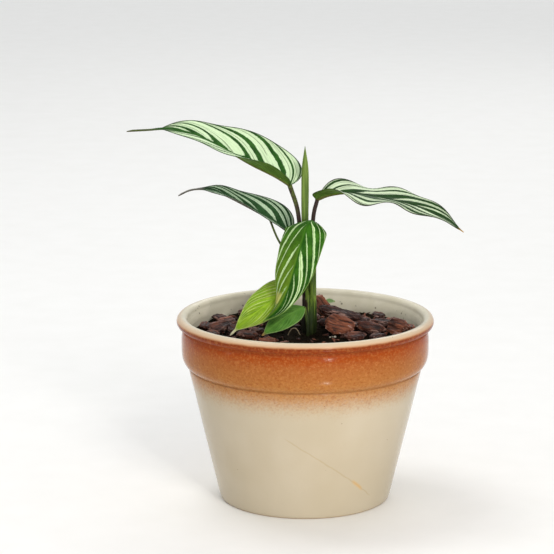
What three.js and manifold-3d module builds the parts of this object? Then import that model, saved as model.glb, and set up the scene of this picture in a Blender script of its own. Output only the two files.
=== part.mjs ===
// A potted calathea: a glazed pot with a rolled rim, a bed of soil with bark chips on it, and a small
// striped-leaf plant that grows from a crown in the middle.
// Millimetres, +Z up. The origin is the middle of the flat underside of the pot.
// The plant's tallest leaf reaches to -X, the drooping front leaf hangs towards -Y.

import * as THREE from "three";
import { mergeVertices } from "three/addons/utils/BufferGeometryUtils.js";
import Module from "manifold-3d";

const wasm = await Module();
wasm.setup();

// ---- Sizes ----

const POT_HEIGHT = 94.5;
const RIM_DIAMETER = 130;
const RIM_ROLL_RADIUS = 2.75;
// How far the rim stands out from the collar under it, and the collar from the groove below it.
const RIM_OVERHANG = 2.5;
const COLLAR_STEP = 4;
// Down from the top of the rim to the foot of the collar, and to the groove.
const COLLAR_DEPTH = 21;
const GROOVE_DEPTH = 29.5;
const FOOT_DIAMETER = 86.4;
const FOOT_EDGE = 1.6;
const WALL = 4.5;
const FLOOR = 6;
const DRAIN_HOLES = 3;
const DRAIN_DIAMETER = 5;
const DRAIN_OFFSET = 18;

// Down from the top of the rim to the soil at the wall, and the soil's rise towards the middle.
const SOIL_DROP = 10.4;
const SOIL_RISE = 0.9;

// From the soil to the highest leaf. The plant's control points below are drawn at DRAWN_HEIGHT.
const PLANT_HEIGHT = 109.5;
const DRAWN_HEIGHT = 109.5;
const CROWN_X = 2.1;
const CROWN_HEIGHT = 22;
const CROWN_MARGIN = 0.2;
const ROOT_DEPTH = 6;
const LOW_ROOT_DEPTH = 3;
const BLADE_THICKNESS = 0.6;
const PETIOLE_RADIUS = 1.0;
const THIN_PETIOLE_RADIUS = 0.6;
const ROLLED_LEAF_RADIUS = 1.6;
const ROLLED_LEAF_FOOT_RADIUS = 0.9;
// The closest that two stems stand in the ring on top of the crown, as an angle round it.
const RING_STEP = 50;

// Multiplies the length, width and thickness of every bark chip.
const CHIP_SIZE = 1;

// The gap between pieces that touch.
const CLEARANCE = 0.3;

const SEGMENTS = 48;
const DEG = Math.PI / 180;

// ---- Materials ----

function material(color, roughness, metalness = 0) {
  return new THREE.MeshStandardMaterial({ color, roughness, metalness });
}

const GLAZE = ["#c9b79c", 0.2];
const SOIL = ["#1b130c", 0.95];
const LEAF = ["#4f8433", 0.45];
const PALE_LEAF = ["#8fae2c", 0.45];
const STEM = ["#5a4a30", 0.5];
const GREEN_STEM = ["#6d8b35", 0.5];
const BARK = ["#6b3d28", 0.85];
const ROOT = ["#c2ad8c", 0.8];

// ---- Solids ----

function plainGeometry(geometry) {
  const plain = new THREE.BufferGeometry();
  plain.setAttribute("position", geometry.getAttribute("position").clone());
  if (geometry.index) {
    plain.setIndex(geometry.index.clone());
  }
  return mergeVertices(plain, 1e-4);
}

function toSolid(geometry) {
  const merged = plainGeometry(geometry);
  const mesh = new wasm.Mesh({
    numProp: 3,
    vertProperties: new Float32Array(merged.attributes.position.array),
    triVerts: new Uint32Array(merged.index.array),
  });
  return new wasm.Manifold(mesh);
}

function fromSolid(solid) {
  const mesh = solid.getMesh();
  const geometry = new THREE.BufferGeometry();
  geometry.setAttribute("position", new THREE.BufferAttribute(mesh.vertProperties, 3));
  geometry.setIndex(new THREE.BufferAttribute(mesh.triVerts, 1));
  return geometry;
}

// A closed skin from flat lists of points and triangles.
function skin(points, triangles) {
  const geometry = new THREE.BufferGeometry();
  const flat = points.flatMap((p) => [p.x, p.y, p.z]);
  geometry.setAttribute("position", new THREE.Float32BufferAttribute(flat, 3));
  geometry.setIndex(triangles);
  geometry.computeVertexNormals();
  return geometry;
}

// An upright cylinder from z = low to z = high.
function post(x, y, radius, low, high, sides = 16) {
  const geometry = new THREE.CylinderGeometry(radius, radius, high - low, sides);
  geometry.rotateX(90 * DEG);
  geometry.translate(x, y, (low + high) / 2);
  return geometry;
}

// ---- Pot ----

const rimRadius = RIM_DIAMETER / 2;
const collarRadius = rimRadius - RIM_OVERHANG;
const grooveRadius = collarRadius - COLLAR_STEP;
const footRadius = FOOT_DIAMETER / 2;
const rollRadius = rimRadius - RIM_ROLL_RADIUS;
const rollHeight = POT_HEIGHT - RIM_ROLL_RADIUS;
const grooveHeight = POT_HEIGHT - GROOVE_DEPTH;
const collarFoot = POT_HEIGHT - COLLAR_DEPTH;

// The outside below the groove is a straight taper.
function outerRadius(z) {
  const share = Math.min(1, Math.max(0, z / grooveHeight));
  return footRadius + (grooveRadius - footRadius) * share;
}

// The inside wall as height and radius, from the floor to the rolled rim.
const floorFillet = 5;
const insideWall = [
  [FLOOR, outerRadius(FLOOR) - WALL - floorFillet],
  [FLOOR + floorFillet * 0.15, outerRadius(FLOOR) - WALL - floorFillet * 0.45],
  [FLOOR + floorFillet * 0.5, outerRadius(FLOOR) - WALL - floorFillet * 0.1],
  [FLOOR + floorFillet, outerRadius(FLOOR + floorFillet) - WALL],
  [grooveHeight - 3, outerRadius(grooveHeight - 3) - WALL],
  [(grooveHeight + collarFoot) / 2 + 1, (grooveRadius + collarRadius) / 2 - WALL],
  [collarFoot + 3, collarRadius - WALL - 0.3],
  [POT_HEIGHT - 9, collarRadius - WALL],
  [POT_HEIGHT - 5.5, collarRadius - WALL + 0.4],
];

function insideRadius(z) {
  for (let i = 1; i < insideWall.length; i++) {
    const [z0, r0] = insideWall[i - 1];
    const [z1, r1] = insideWall[i];
    if (z <= z1) {
      return r0 + ((r1 - r0) * (z - z0)) / (z1 - z0);
    }
  }
  return insideWall.at(-1)[1];
}

function potProfile() {
  const points = [];
  points.push([0, 0]);
  points.push([footRadius - FOOT_EDGE, 0]);
  points.push([footRadius - FOOT_EDGE * 0.3, FOOT_EDGE * 0.3]);
  points.push([outerRadius(FOOT_EDGE), FOOT_EDGE]);
  points.push([outerRadius(grooveHeight * 0.5), grooveHeight * 0.5]);
  points.push([grooveRadius - 0.2, grooveHeight - 1.5]);
  points.push([grooveRadius + 0.1, grooveHeight + 0.8]);
  const step = collarRadius - grooveRadius;
  const rise = collarFoot - grooveHeight;
  points.push([grooveRadius + step * 0.35, grooveHeight + rise * 0.35]);
  points.push([grooveRadius + step * 0.78, grooveHeight + rise * 0.65]);
  points.push([collarRadius - 0.15, collarFoot]);
  points.push([collarRadius, collarFoot + 3.5]);
  points.push([collarRadius, POT_HEIGHT - 2 * RIM_ROLL_RADIUS - 0.6]);
  for (let angle = -75; angle <= 180; angle += 30) {
    const r = rollRadius + RIM_ROLL_RADIUS * Math.cos(angle * DEG);
    const z = rollHeight + RIM_ROLL_RADIUS * Math.sin(angle * DEG);
    points.push([r, z]);
  }
  for (const [z, r] of insideWall.toReversed()) {
    points.push([r, z]);
  }
  points.push([0, FLOOR]);
  return points.map(([r, z]) => new THREE.Vector2(r, z));
}

function upright(geometry) {
  return geometry.rotateX(90 * DEG);
}

function potGeometry() {
  let pot = toSolid(upright(new THREE.LatheGeometry(potProfile(), SEGMENTS)));
  for (let i = 0; i < DRAIN_HOLES; i++) {
    const angle = (360 / DRAIN_HOLES) * i * DEG + 0.5;
    const x = DRAIN_OFFSET * Math.cos(angle);
    const y = DRAIN_OFFSET * Math.sin(angle);
    pot = pot.subtract(toSolid(post(x, y, DRAIN_DIAMETER / 2, -2, FLOOR + 2)));
  }
  return fromSolid(pot);
}

// ---- Soil ----

const soilLevel = POT_HEIGHT - SOIL_DROP;
const soilGap = CLEARANCE * 1.05;
const soilRadius = insideRadius(soilLevel) - soilGap;

// The height of the soil: a low mound with a few soft hollows, flat where it meets the wall.
function soilHeight(x, y) {
  const share = Math.min(1, Math.hypot(x, y) / soilRadius);
  const mound = SOIL_RISE * (1 - share * share);
  const bumps = 0.35 * Math.sin(x * 0.21 + 1.3) * Math.cos(y * 0.17 - 0.4);
  return soilLevel + mound + bumps * (1 - share ** 4);
}

function soilGeometry(rooted) {
  const points = [new THREE.Vector2(0, FLOOR + CLEARANCE)];
  for (const [z, r] of insideWall) {
    if (z + CLEARANCE < soilLevel - 2) {
      points.push(new THREE.Vector2(r - soilGap, z + CLEARANCE));
    }
  }
  const rings = 6;
  for (let i = rings; i >= 0; i--) {
    points.push(new THREE.Vector2((soilRadius * i) / rings, soilLevel));
  }
  const geometry = upright(new THREE.LatheGeometry(points, SEGMENTS));
  const position = geometry.attributes.position;
  for (let i = 0; i < position.count; i++) {
    if (position.getZ(i) > soilLevel - 0.01) {
      position.setZ(i, soilHeight(position.getX(i), position.getY(i)));
    }
  }
  // A pocket for each piece that is rooted in the soil.
  let soil = toSolid(geometry);
  for (const [x, y, radius, depth] of rooted) {
    const low = soilHeight(x, y) - depth - CLEARANCE;
    soil = soil.subtract(toSolid(post(x, y, radius + CLEARANCE, low, soilLevel + 8, 20)));
  }
  return fromSolid(soil);
}

// ---- Curves ----

// A smooth run through evenly spaced values or points, at u from 0 to 1.
function run(values, u) {
  const last = values.length - 1;
  const at = (k, axis) => {
    const pick = (i) => (axis === undefined ? values[i] : values[i][axis]);
    if (k < 0) {
      return 2 * pick(0) - pick(1);
    }
    if (k > last) {
      return 2 * pick(last) - pick(last - 1);
    }
    return pick(k);
  };
  const x = Math.min(1, Math.max(0, u)) * last;
  const i = Math.min(last - 1, Math.floor(x));
  const f = x - i;
  const blend = (axis) => {
    const [a, b, c, d] = [at(i - 1, axis), at(i, axis), at(i + 1, axis), at(i + 2, axis)];
    const bend = (2 * a - 5 * b + 4 * c - d) * f * f + (3 * b - a - 3 * c + d) * f ** 3;
    return 0.5 * (2 * b + (c - a) * f + bend);
  };
  if (typeof values[0] === "number") {
    return blend(undefined);
  }
  return new THREE.Vector3(blend(0), blend(1), blend(2));
}

// The stems stand in a ring round the foot of the rolled leaf, far enough out to clear each other.
const neighbourReach = (PETIOLE_RADIUS + CLEARANCE / 2) / Math.sin((RING_STEP / 2) * DEG);
const middleReach = ROLLED_LEAF_FOOT_RADIUS + PETIOLE_RADIUS + CLEARANCE;
const ringRadius = Math.max(neighbourReach, middleReach);
const crownRadius = ringRadius + PETIOLE_RADIUS + CROWN_MARGIN;

// The plant's points are given over the soil at the crown, and grow with the plant.
const plantScale = PLANT_HEIGHT / DRAWN_HEIGHT;
const crownFoot = soilHeight(CROWN_X, 0);

function grown([x, y, z]) {
  const height = crownFoot + z * plantScale;
  return [CROWN_X + (x - CROWN_X) * plantScale, y * plantScale, height];
}

// The height to give a plant's point, so that it ends up a gap over the soil at x, y.
function heightAboveCrown(x, y, gap) {
  return (soilHeight(x, y) + gap - crownFoot) / plantScale;
}

// A plant's point that keeps its gap over the soil.
function aboveSoil(x, y, gap) {
  const [soilX, soilY] = grown([x, y, 0]);
  return [x, y, heightAboveCrown(soilX, soilY, gap)];
}

// ---- Leaf blades ----
// A blade follows its midrib (spine) from the petiole to the tip. Each half has a width, and per
// station a lift (degrees up from level, across the rib), a curl (more bend towards the edge), and a
// sweep (how far the edge trails back towards the base). face is the way the top of the blade looks.

const BLADES = {
  upper_left: {
    spine: [[-8, 2, 74.8], [-15.5, 0, 79.8], [-27, -4, 86.3], [-40, -7, 94.3],
      [-54, -10, 101.8], [-67.5, -12, 105.1], [-78, -13, 104.8], [-88, -14, 104.3]],
    face: [[0, 0, 1], [0, 0, 1]],
    peak: 0.36, tail: 0.77, tailWidth: 0.05, wave: 0.8, waves: 3.2,
    far: {
      width: 17, share: [1.3, 1.3, 1.07, 0.86, 0.84, 0.78, 1],
      lift: [40, 48, 46, 42, 38, 40, 60], curl: [15, 16, 12, 8, 4, 2, 0],
      sweep: [1.1, 0.6, 0.3, 0, 0, 0, 0], phase: 0.1,
    },
    near: {
      width: 13, share: [0.8, 0.8, 0.9, 1, 1.1, 1, 1],
      lift: [40, 28, 12, -4, -10, 5, 40], curl: [10, 4, 0, -8, -6, 0, 0],
      sweep: [0.3, 0.2, 0.1, 0, 0, 0, 0], phase: 0.35,
    },
  },
  right: {
    spine: [[5.8, 0, 67.8], [12.2, -3, 70.8], [22, -6, 72.4], [34, -9, 71],
      [46, -12, 69.2], [57, -15, 66.6], [68.6, -18, 61.8], [78, -20, 55.4]],
    face: [[0, 0, 1], [0, 0, 1]],
    peak: 0.4, tail: 0.99, tailWidth: 0.03, wave: 1.8, waves: 3.3,
    far: {
      width: 13, share: [1, 0.8, 0.8, 0.85, 0.9, 1, 1],
      lift: [75, 34, 0, 6, 0, -8, -10], curl: [10, 0, -10, -20, -10, 0, 0],
      sweep: [1, 0.4, 0.1, 0, 0, 0, 0], phase: 0.42,
    },
    near: {
      width: 13, share: [0.85, 0.82, 0.8, 0.85, 1, 1, 1],
      lift: [44, 42, 28, 22, 28, 26, 20], curl: [10, 0, -10, -10, 0, 0, 0],
      sweep: [0.8, 0.4, 0.1, 0, 0, 0, 0], phase: 0.54,
    },
  },
  mid_left: {
    spine: [[-8, 10, 49.3], [-18.4, 11, 56.3], [-33.1, 12, 64.2], [-44, 13, 69.2],
      [-52, 14, 70.6], [-58.4, 15, 69.8], [-64.5, 16, 66.8]],
    face: [[0, 0, 1], [0, 0, 1]],
    peak: 0.34, tail: 0.8, tailWidth: 0.06, wave: 0.8, waves: 2.5,
    far: {
      width: 13.5, share: [1.15, 1, 0.52, 0.38, 0.4, 1],
      lift: [44, 42, 34, 28, 30, 40], curl: [10, 5, 0, 0, 0, 0],
      sweep: [0.7, 0.3, 0, 0, 0, 0], phase: 0,
    },
    near: {
      width: 10, share: [1, 1, 1, 0.9, 0.8, 1],
      lift: [12, 12, 12, 9, 5, 10], curl: [-5, -5, -5, -3, 0, 0],
      sweep: [0.3, 0, 0, 0, 0, 0], phase: 0.4,
    },
  },
  front: {
    spine: [[3.8, -2.6, 55.6], [2.8, -5, 58.4], [0.8, -9.5, 56.2], [-2.6, -14, 46.6],
      [-5.8, -17, 35.6], [-8.8, -18.8, 26.1], [-13.5, -20.3, 17], [-21, -21.5, 10.2]],
    face: [[0, 0, 1], [0, -0.2, 1], [0, -0.6, 1], [0, -1, 0.4], [-0.1, -1, 0.1],
      [-0.1, -1, 0.1], [-0.2, -1, 0.1]],
    peak: 0.3, tail: 1, tailWidth: 0.02, wave: 0.4, waves: 2,
    far: {
      width: 12.3, share: [1, 1.18, 1.12, 1, 1, 1, 1],
      lift: [-10, -16, -18, -20, -10, -30, -40], curl: [-10, -20, -20, -14, -20, -40, -60],
      sweep: [0, 0], phase: 0,
    },
    near: {
      width: 12.8, share: [0.7, 0.78, 0.87, 0.94, 0.98, 0.95, 0.9],
      lift: [-10, -14, -10, -5, 0, 5, 5], curl: [-10, -20, -30, -20, -5, 0, 0],
      sweep: [0, 0], phase: 0.4,
    },
  },
  low_yellow: {
    spine: [[-4, -3.2, 30.4], [-9, -6.4, 24], [-16, -9.5, 18.4], [-24, -13, 13.1],
      [-31.5, -15.5, 7.7], [-37.5, -17, 2.1]],
    face: [[-0.5, -0.8, 0.6], [-0.4, -0.8, 0.6]],
    peak: 0.45, tail: 0.93, tailWidth: 0.06, wave: 0.4, waves: 2,
    far: {
      width: 11, share: [1.2, 1.2, 1.02, 0.8, 0.6], lift: [0, 0, 0, 0],
      curl: [-10, -10, -5, 0], sweep: [0, 0], phase: 0,
    },
    near: {
      width: 8, share: [1, 1], lift: [0, 0, 0, 0],
      curl: [-20, -20, -10, 0], sweep: [0, 0], phase: 0.4,
    },
  },
  low_green: {
    spine: [[-0.3, -4.7, 13.9], [-5, -8.2, 12.3], [-11, -11.5, 9.3], [-16.5, -14, 5.6], [-21.6, -16, 1.7]],
    face: [[-0.2, -0.8, 0.7], [-0.2, -0.8, 0.7]],
    peak: 0.42, tail: 0.97, tailWidth: 0.04, wave: 0.2, waves: 2,
    far: {
      width: 6.5, share: [1, 1], lift: [0, 0, 0],
      curl: [-10, -10, 0], sweep: [0, 0], phase: 0,
    },
    near: {
      width: 6, share: [1, 1], lift: [0, 0, 0],
      curl: [-10, -10, 0], sweep: [0, 0], phase: 0.4,
    },
  },
};

// The share of the full half width at u along the rib, ending in a thin drip tip.
function outline(blade, u, tailWidth) {
  if (u < blade.peak) {
    return Math.sin(((Math.PI / 2) * u) / blade.peak) ** 0.7;
  }
  const fall = Math.min(1, (u - blade.peak) / (blade.tail - blade.peak));
  const tip = tailWidth * Math.min(1, (1 - u) / (1.000001 - blade.tail));
  return Math.max(Math.cos((Math.PI / 2) * fall), tip);
}

// A point of the blade's middle layer: u runs along the rib, v from -1 (near edge) to 1 (far edge).
function bladePoint(blade, u, v) {
  const h = 0.004;
  const spine = (s) => new THREE.Vector3(...grown(run(blade.spine, s).toArray()));
  const rib = spine(u);
  const along = spine(Math.min(1, u + h)).sub(spine(Math.max(0, u - h))).normalize();
  const across = along.clone().cross(run(blade.face, u)).normalize();
  const up = across.clone().cross(along);
  const half = v < 0 ? blade.near : blade.far;
  const a = Math.abs(v);
  const shape = outline(blade, u, blade.tailWidth) * half.width * run(half.share, u);
  const width = Math.max(shape, 0.7) * plantScale;
  const lift = run(half.lift, u) * DEG;
  const bend = run(half.curl, u) * DEG;
  const curl = Math.abs(bend) < 1e-3 ? 1e-3 : bend;
  const out = (Math.sin(lift + curl * a) - Math.sin(lift)) / curl;
  const high = (Math.cos(lift) - Math.cos(lift + curl * a)) / curl;
  const ripple = Math.sin(2 * Math.PI * (blade.waves * u + half.phase)) * outline(blade, u, 0);
  return rib
    .addScaledVector(across, Math.sign(v) * width * out)
    .addScaledVector(up, width * high + blade.wave * plantScale * a * a * ripple)
    .addScaledVector(along, -run(half.sweep, u) * width * a);
}

function bladeGeometry(blade, steps = 20, halves = 3) {
  const columns = 2 * halves;
  const points = [];
  const index = (i, j, side) => ((i * (columns + 1) + j) * 2 + side);
  for (let i = 0; i <= steps; i++) {
    for (let j = 0; j <= columns; j++) {
      const u = i / steps;
      const v = j / halves - 1;
      const p = bladePoint(blade, u, v);
      const e = 0.01;
      const du = bladePoint(blade, Math.min(1, u + e), v).sub(bladePoint(blade, Math.max(0, u - e), v));
      const dv = bladePoint(blade, u, Math.min(1, v + e)).sub(bladePoint(blade, u, Math.max(-1, v - e)));
      const normal = dv.cross(du).normalize().multiplyScalar(BLADE_THICKNESS / 2);
      points.push(p.clone().add(normal), p.clone().sub(normal));
    }
  }
  const triangles = [];
  for (let i = 0; i < steps; i++) {
    for (let j = 0; j < columns; j++) {
      const [a, b, c, d] = [[i, j], [i, j + 1], [i + 1, j + 1], [i + 1, j]];
      const top = [a, b, c, d].map(([m, n]) => index(m, n, 0));
      const low = [a, b, c, d].map(([m, n]) => index(m, n, 1));
      triangles.push(top[0], top[1], top[2], top[0], top[2], top[3]);
      triangles.push(low[0], low[2], low[1], low[0], low[3], low[2]);
    }
  }
  // The thin wall round the edge.
  const loop = [];
  for (let j = 0; j < columns; j++) {
    loop.push([0, j]);
  }
  for (let i = 0; i < steps; i++) {
    loop.push([i, columns]);
  }
  for (let j = columns; j > 0; j--) {
    loop.push([steps, j]);
  }
  for (let i = steps; i > 0; i--) {
    loop.push([i, 0]);
  }
  loop.forEach((p, k) => {
    const q = loop[(k + 1) % loop.length];
    const [pt, pb] = [index(p[0], p[1], 0), index(p[0], p[1], 1)];
    const [qt, qb] = [index(q[0], q[1], 0), index(q[0], q[1], 1)];
    triangles.push(qt, pt, pb, qt, pb, qb);
  });
  return skin(points, triangles);
}

// ---- Stems ----

// A round stem through the given points, whose radius runs through the given values. It can be grown
// all round by extra, and stop at the share end of its route.
function stemGeometry(route, radii, steps = 12, sides = 8, extra = 0, end = 1) {
  const points = [];
  const triangles = [];
  const centre = (u) => new THREE.Vector3(...grown(run(route, u).toArray()));
  let side = new THREE.Vector3(1, 0, 0);
  for (let i = 0; i <= steps; i++) {
    const u = (end * i) / steps;
    const along = centre(Math.min(1, u + 0.01)).sub(centre(Math.max(0, u - 0.01))).normalize();
    side = side.clone().addScaledVector(along, -side.dot(along)).normalize();
    const other = along.clone().cross(side);
    const radius = run(radii, u) + extra;
    for (let j = 0; j < sides; j++) {
      const angle = (2 * Math.PI * j) / sides;
      const spoke = side.clone().multiplyScalar(Math.cos(angle)).addScaledVector(other, Math.sin(angle));
      points.push(centre(u).addScaledVector(spoke, radius));
    }
  }
  for (let i = 0; i < steps; i++) {
    for (let j = 0; j < sides; j++) {
      const n = (j + 1) % sides;
      const [a, b] = [i * sides + j, i * sides + n];
      const [c, d] = [(i + 1) * sides + n, (i + 1) * sides + j];
      triangles.push(a, b, c, a, c, d);
    }
  }
  const first = points.length;
  points.push(centre(0), centre(end));
  for (let j = 0; j < sides; j++) {
    const n = (j + 1) % sides;
    triangles.push(first, n, j);
    triangles.push(first + 1, steps * sides + j, steps * sides + n);
  }
  return skin(points, triangles);
}

// A stem that runs up to a blade and stops just short of it.
function stemTo(bladeName, route, radii, steps = 12) {
  const blade = laid.filter((piece) => piece.name === bladeName);
  const reach = new THREE.CatmullRomCurve3(route.map((p) => new THREE.Vector3(...grown(p)))).getLength();
  for (let cut = 0; cut < reach / 3; cut += 0.05) {
    const end = 1 - cut / reach;
    const tip = Math.min(1, end + CLEARANCE / reach);
    if (isClear(stemGeometry(route, radii, steps, 8, CLEARANCE, tip), blade)) {
      return stemGeometry(route, radii, steps, 8, 0, end);
    }
  }
  throw new Error(`the stem doesn't clear ${bladeName}`);
}

// The crown: the overlapping sheaths of the stems, in one fluted stub that is rooted in the soil.
function crownGeometry() {
  const rings = [[-ROOT_DEPTH, 0.8], [-1, 0.98], [4, 1.05], [11, 1], [17, 0.96], [CROWN_HEIGHT, 0.94]];
  const sides = 24;
  const points = [];
  const triangles = [];
  for (const [z, share] of rings) {
    for (let j = 0; j < sides; j++) {
      const angle = (2 * Math.PI * j) / sides;
      const flute = z < 0 ? 0 : 0.25 * Math.cos(6 * (angle - 10 * DEG));
      const radius = crownRadius * share - 0.25 + flute;
      const x = CROWN_X + radius * Math.cos(angle);
      points.push(new THREE.Vector3(x, radius * Math.sin(angle), crownFoot + z));
    }
  }
  for (let i = 0; i < rings.length - 1; i++) {
    for (let j = 0; j < sides; j++) {
      const n = (j + 1) % sides;
      const [a, b] = [i * sides + j, i * sides + n];
      const [c, d] = [(i + 1) * sides + n, (i + 1) * sides + j];
      triangles.push(a, b, c, a, c, d);
    }
  }
  const first = points.length;
  points.push(new THREE.Vector3(CROWN_X, 0, crownFoot - ROOT_DEPTH));
  points.push(new THREE.Vector3(CROWN_X, 0, crownFoot + CROWN_HEIGHT));
  const top = (rings.length - 1) * sides;
  for (let j = 0; j < sides; j++) {
    const n = (j + 1) % sides;
    triangles.push(first, n, j);
    triangles.push(first + 1, top + j, top + n);
  }
  return skin(points, triangles);
}

// Where a stem leaves the top of the crown: a place in the ring round the rolled leaf.
const stemStart = (CROWN_HEIGHT + 2 * CLEARANCE) / plantScale;

function ringPoint(angle, z = stemStart) {
  const x = CROWN_X + (ringRadius / plantScale) * Math.cos(angle * DEG);
  return [x, (ringRadius / plantScale) * Math.sin(angle * DEG), z];
}

const PETIOLES = {
  upper_left: {
    route: [ringPoint(185), ringPoint(185, 30), [-2.4, 1, 46], [-4, 2, 62], [-8, 2, 74.8]],
    radius: PETIOLE_RADIUS, look: STEM,
  },
  mid_left: {
    route: [ringPoint(125), ringPoint(128, 29), [-8, 4.5, 38], [-13.8, 7.5, 46], [-18.2, 11, 56]],
    radius: THIN_PETIOLE_RADIUS, look: GREEN_STEM,
  },
  right: {
    route: [ringPoint(45), ringPoint(42, 30), [3.4, 0.8, 48], [4.0, 0.2, 60], [5.8, 0, 67.8]],
    radius: PETIOLE_RADIUS * 0.9, look: STEM,
  },
  front: {
    route: [ringPoint(295), ringPoint(297, 30), [4.4, -3.4, 42], [3.8, -2.7, 55.6]],
    radius: PETIOLE_RADIUS, look: GREEN_STEM,
  },
  low_yellow: {
    route: [ringPoint(240), ringPoint(240, 25), [-4, -3.2, 30.4]],
    radius: PETIOLE_RADIUS * 0.9, look: GREEN_STEM,
  },
};

// A seedling with one small oval leaf, behind the chips, and a bare rootlet that arches over the soil.
const SEEDLING = {
  spine: [[9.9, 16.6, 11.6], [12.3, 16.6, 12.2], [15.3, 16.6, 12]],
  face: [[0, -0.6, 1], [0, -0.6, 1]],
  peak: 0.5, tail: 1, tailWidth: 0, wave: 0, waves: 1,
  far: { width: 1.7, share: [1, 1], lift: [10, 10], curl: [0, 0], sweep: [0, 0], phase: 0 },
  near: { width: 1.7, share: [1, 1], lift: [10, 10], curl: [0, 0], sweep: [0, 0], phase: 0 },
};
// Their feet keep these heights over the soil, whatever the size of the plant.
const SEEDLING_FOOT_GAP = 1.17908;
const ROOTLET_FOOT_GAPS = [1.38684, 1.27616];
const SEEDLING_ROUTE = [aboveSoil(11.4, 18.2, SEEDLING_FOOT_GAP), [10.2, 17.2, 6], [9.9, 16.6, 11.6]];
const ROOTLET_ROUTE = [
  aboveSoil(-8.6, -5.4, ROOTLET_FOOT_GAPS[0]), [-7.2, -5.5, 2.6], [-5.7, -5.6, 3.2],
  [-4.2, -5.6, 2.6], aboveSoil(-2.7, -5.6, ROOTLET_FOOT_GAPS[1]),
];

// ---- Bark chips ----
// Each chip: its middle as x, y and height over the soil, then length, width and thickness, then
// yaw, pitch and roll in degrees. The middles are drawn for a soil bed of DRAWN_SOIL_RADIUS.

const DRAWN_SOIL_RADIUS = 57.7;
const CHIPS = [
  [14.5, 4.5, 2.0, 10, 7, 3.4, 20, 0, 0],
  [25, 6.5, 2.2, 10, 7, 3.8, -20, 0, 0],
  [11.5, 13, 2.0, 11, 7, 3.4, 10, 0, 0],
  [17.2, -6, 5.0, 17, 13, 4.5, -10, 8, 35],
  [17.2, 5.5, 9.4, 23, 6, 4, -3, 14.6, 15],
  [8.2, 12, 11.2, 13, 8, 3, 0, 50, 65],
  [33.4, -5, 3.8, 15, 7.5, 4.5, -28, 5, 25],
  [38.5, 7, 3.9, 13, 7, 3.5, -15, 5, 15],
  [46.5, -2, 4.4, 13, 10, 3.5, -35, 5, 50],
  [25, -18, 2.0, 11, 7, 3, 10, 0, 10],
  [36, -16, 2.3, 10, 6, 3, 30, 0, 8],
  [36, -27, 1.9, 9, 6, 2.8, -35, 0, 5],
  [-43, 1, 3.0, 13, 9, 3.5, 20, -8, 20],
  [-35, -4.5, 2.4, 9, 7, 3, -30, 0, 15],
  [-46, -11, 2.4, 8, 6, 3, -40, 6, 0],
  [-40, 12, 2.9, 11, 8, 3.5, 60, 0, 10],
  [-29, -13.5, 2.1, 11, 7, 3, -15, 0, 6],
  [-24, -6, 2.2, 8, 6, 3, 40, 0, 0],
  [-19, -26, 1.7, 9, 6, 3, 8, 0, 6],
  [-28, 21, 2.2, 12, 8, 3, 25, 0, 0],
  [-13, 33, 1.9, 12, 7, 3, -15, 0, 0],
  [-12, 14, 2.2, 10, 7, 3, 75, 0, 0],
  [4, 41, 1.9, 11, 7, 3, 10, 0, 0],
  [3, 24, 2.2, 12, 8, 3, 50, 0, 0],
  [20, 31, 2.1, 13, 8, 3, -30, 0, 0],
  [29, 19, 2.4, 11, 8, 3.4, 15, 4, 0],
  [45, 17, 2.2, 11, 7, 3, 80, 0, 0],
  [38, 33, 1.9, 10, 6, 3, -50, 0, 0],
  [47, -17, 2.2, 11, 7, 3, -60, 0, 10],
  [25, -31, 1.9, 10, 6, 2.8, 20, 0, 0],
  [-51, 9, 2.0, 8, 6, 3, 85, 0, 0],
  [-37, -24, 1.7, 8, 5, 2.4, 30, 0, 0],
  [-44, 26, 2.0, 11, 7, 3, -40, 0, 0],
  [-30, 38, 2.0, 12, 8, 3, 35, 0, 0],
  [53, 4, 2.6, 9, 7, 3, 85, 0, 10],
];

// A repeatable number from 0 to 1 for chip n and corner k.
function vary(n, k) {
  const x = Math.sin(n * 12.9898 + k * 78.233 + 1.7) * 43758.5453;
  return x - Math.floor(x);
}

// An irregular slab with seven corners, grown all round by extra.
function chipGeometry(n, length, width, thickness, extra) {
  const corners = 7;
  const points = [];
  const triangles = [];
  const layers = [[-0.5, 0.78], [0.1, 1], [0.5, 0.8]];
  for (const [level, share] of layers) {
    for (let k = 0; k < corners; k++) {
      const angle = ((k + 0.5 * vary(n, k)) / corners) * 2 * Math.PI;
      const reach = share * (0.92 + 0.3 * vary(n, k + 10));
      const x = (length / 2) * reach * Math.cos(angle) + extra * Math.cos(angle);
      const y = (width / 2) * reach * Math.sin(angle) + extra * Math.sin(angle);
      const lean = level === 0.1 ? 0 : Math.sign(level) * extra;
      const z = thickness * level * (0.8 + 0.35 * vary(n, k + 20)) + lean;
      points.push(new THREE.Vector3(x, y, z));
    }
  }
  for (let i = 0; i < 2; i++) {
    for (let k = 0; k < corners; k++) {
      const m = (k + 1) % corners;
      const [a, b] = [i * corners + k, i * corners + m];
      const [c, d] = [(i + 1) * corners + m, (i + 1) * corners + k];
      triangles.push(a, b, c, a, c, d);
    }
  }
  points.push(new THREE.Vector3(0, 0, -thickness / 2 - extra));
  points.push(new THREE.Vector3(0, 0, thickness / 2 + extra));
  for (let k = 0; k < corners; k++) {
    const m = (k + 1) % corners;
    triangles.push(3 * corners, m, k);
    triangles.push(3 * corners + 1, 2 * corners + k, 2 * corners + m);
  }
  return skin(points, triangles);
}

// Whether a placed geometry is clear of every piece laid before it.
function isClear(geometry, laid) {
  geometry.computeBoundingBox();
  const near = laid.filter((piece) => piece.box.intersectsBox(geometry.boundingBox));
  if (near.length === 0) {
    return true;
  }
  const solid = toSolid(geometry);
  return near.every((piece) => solid.intersect(piece.solid).volume() < 1e-6);
}

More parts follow.
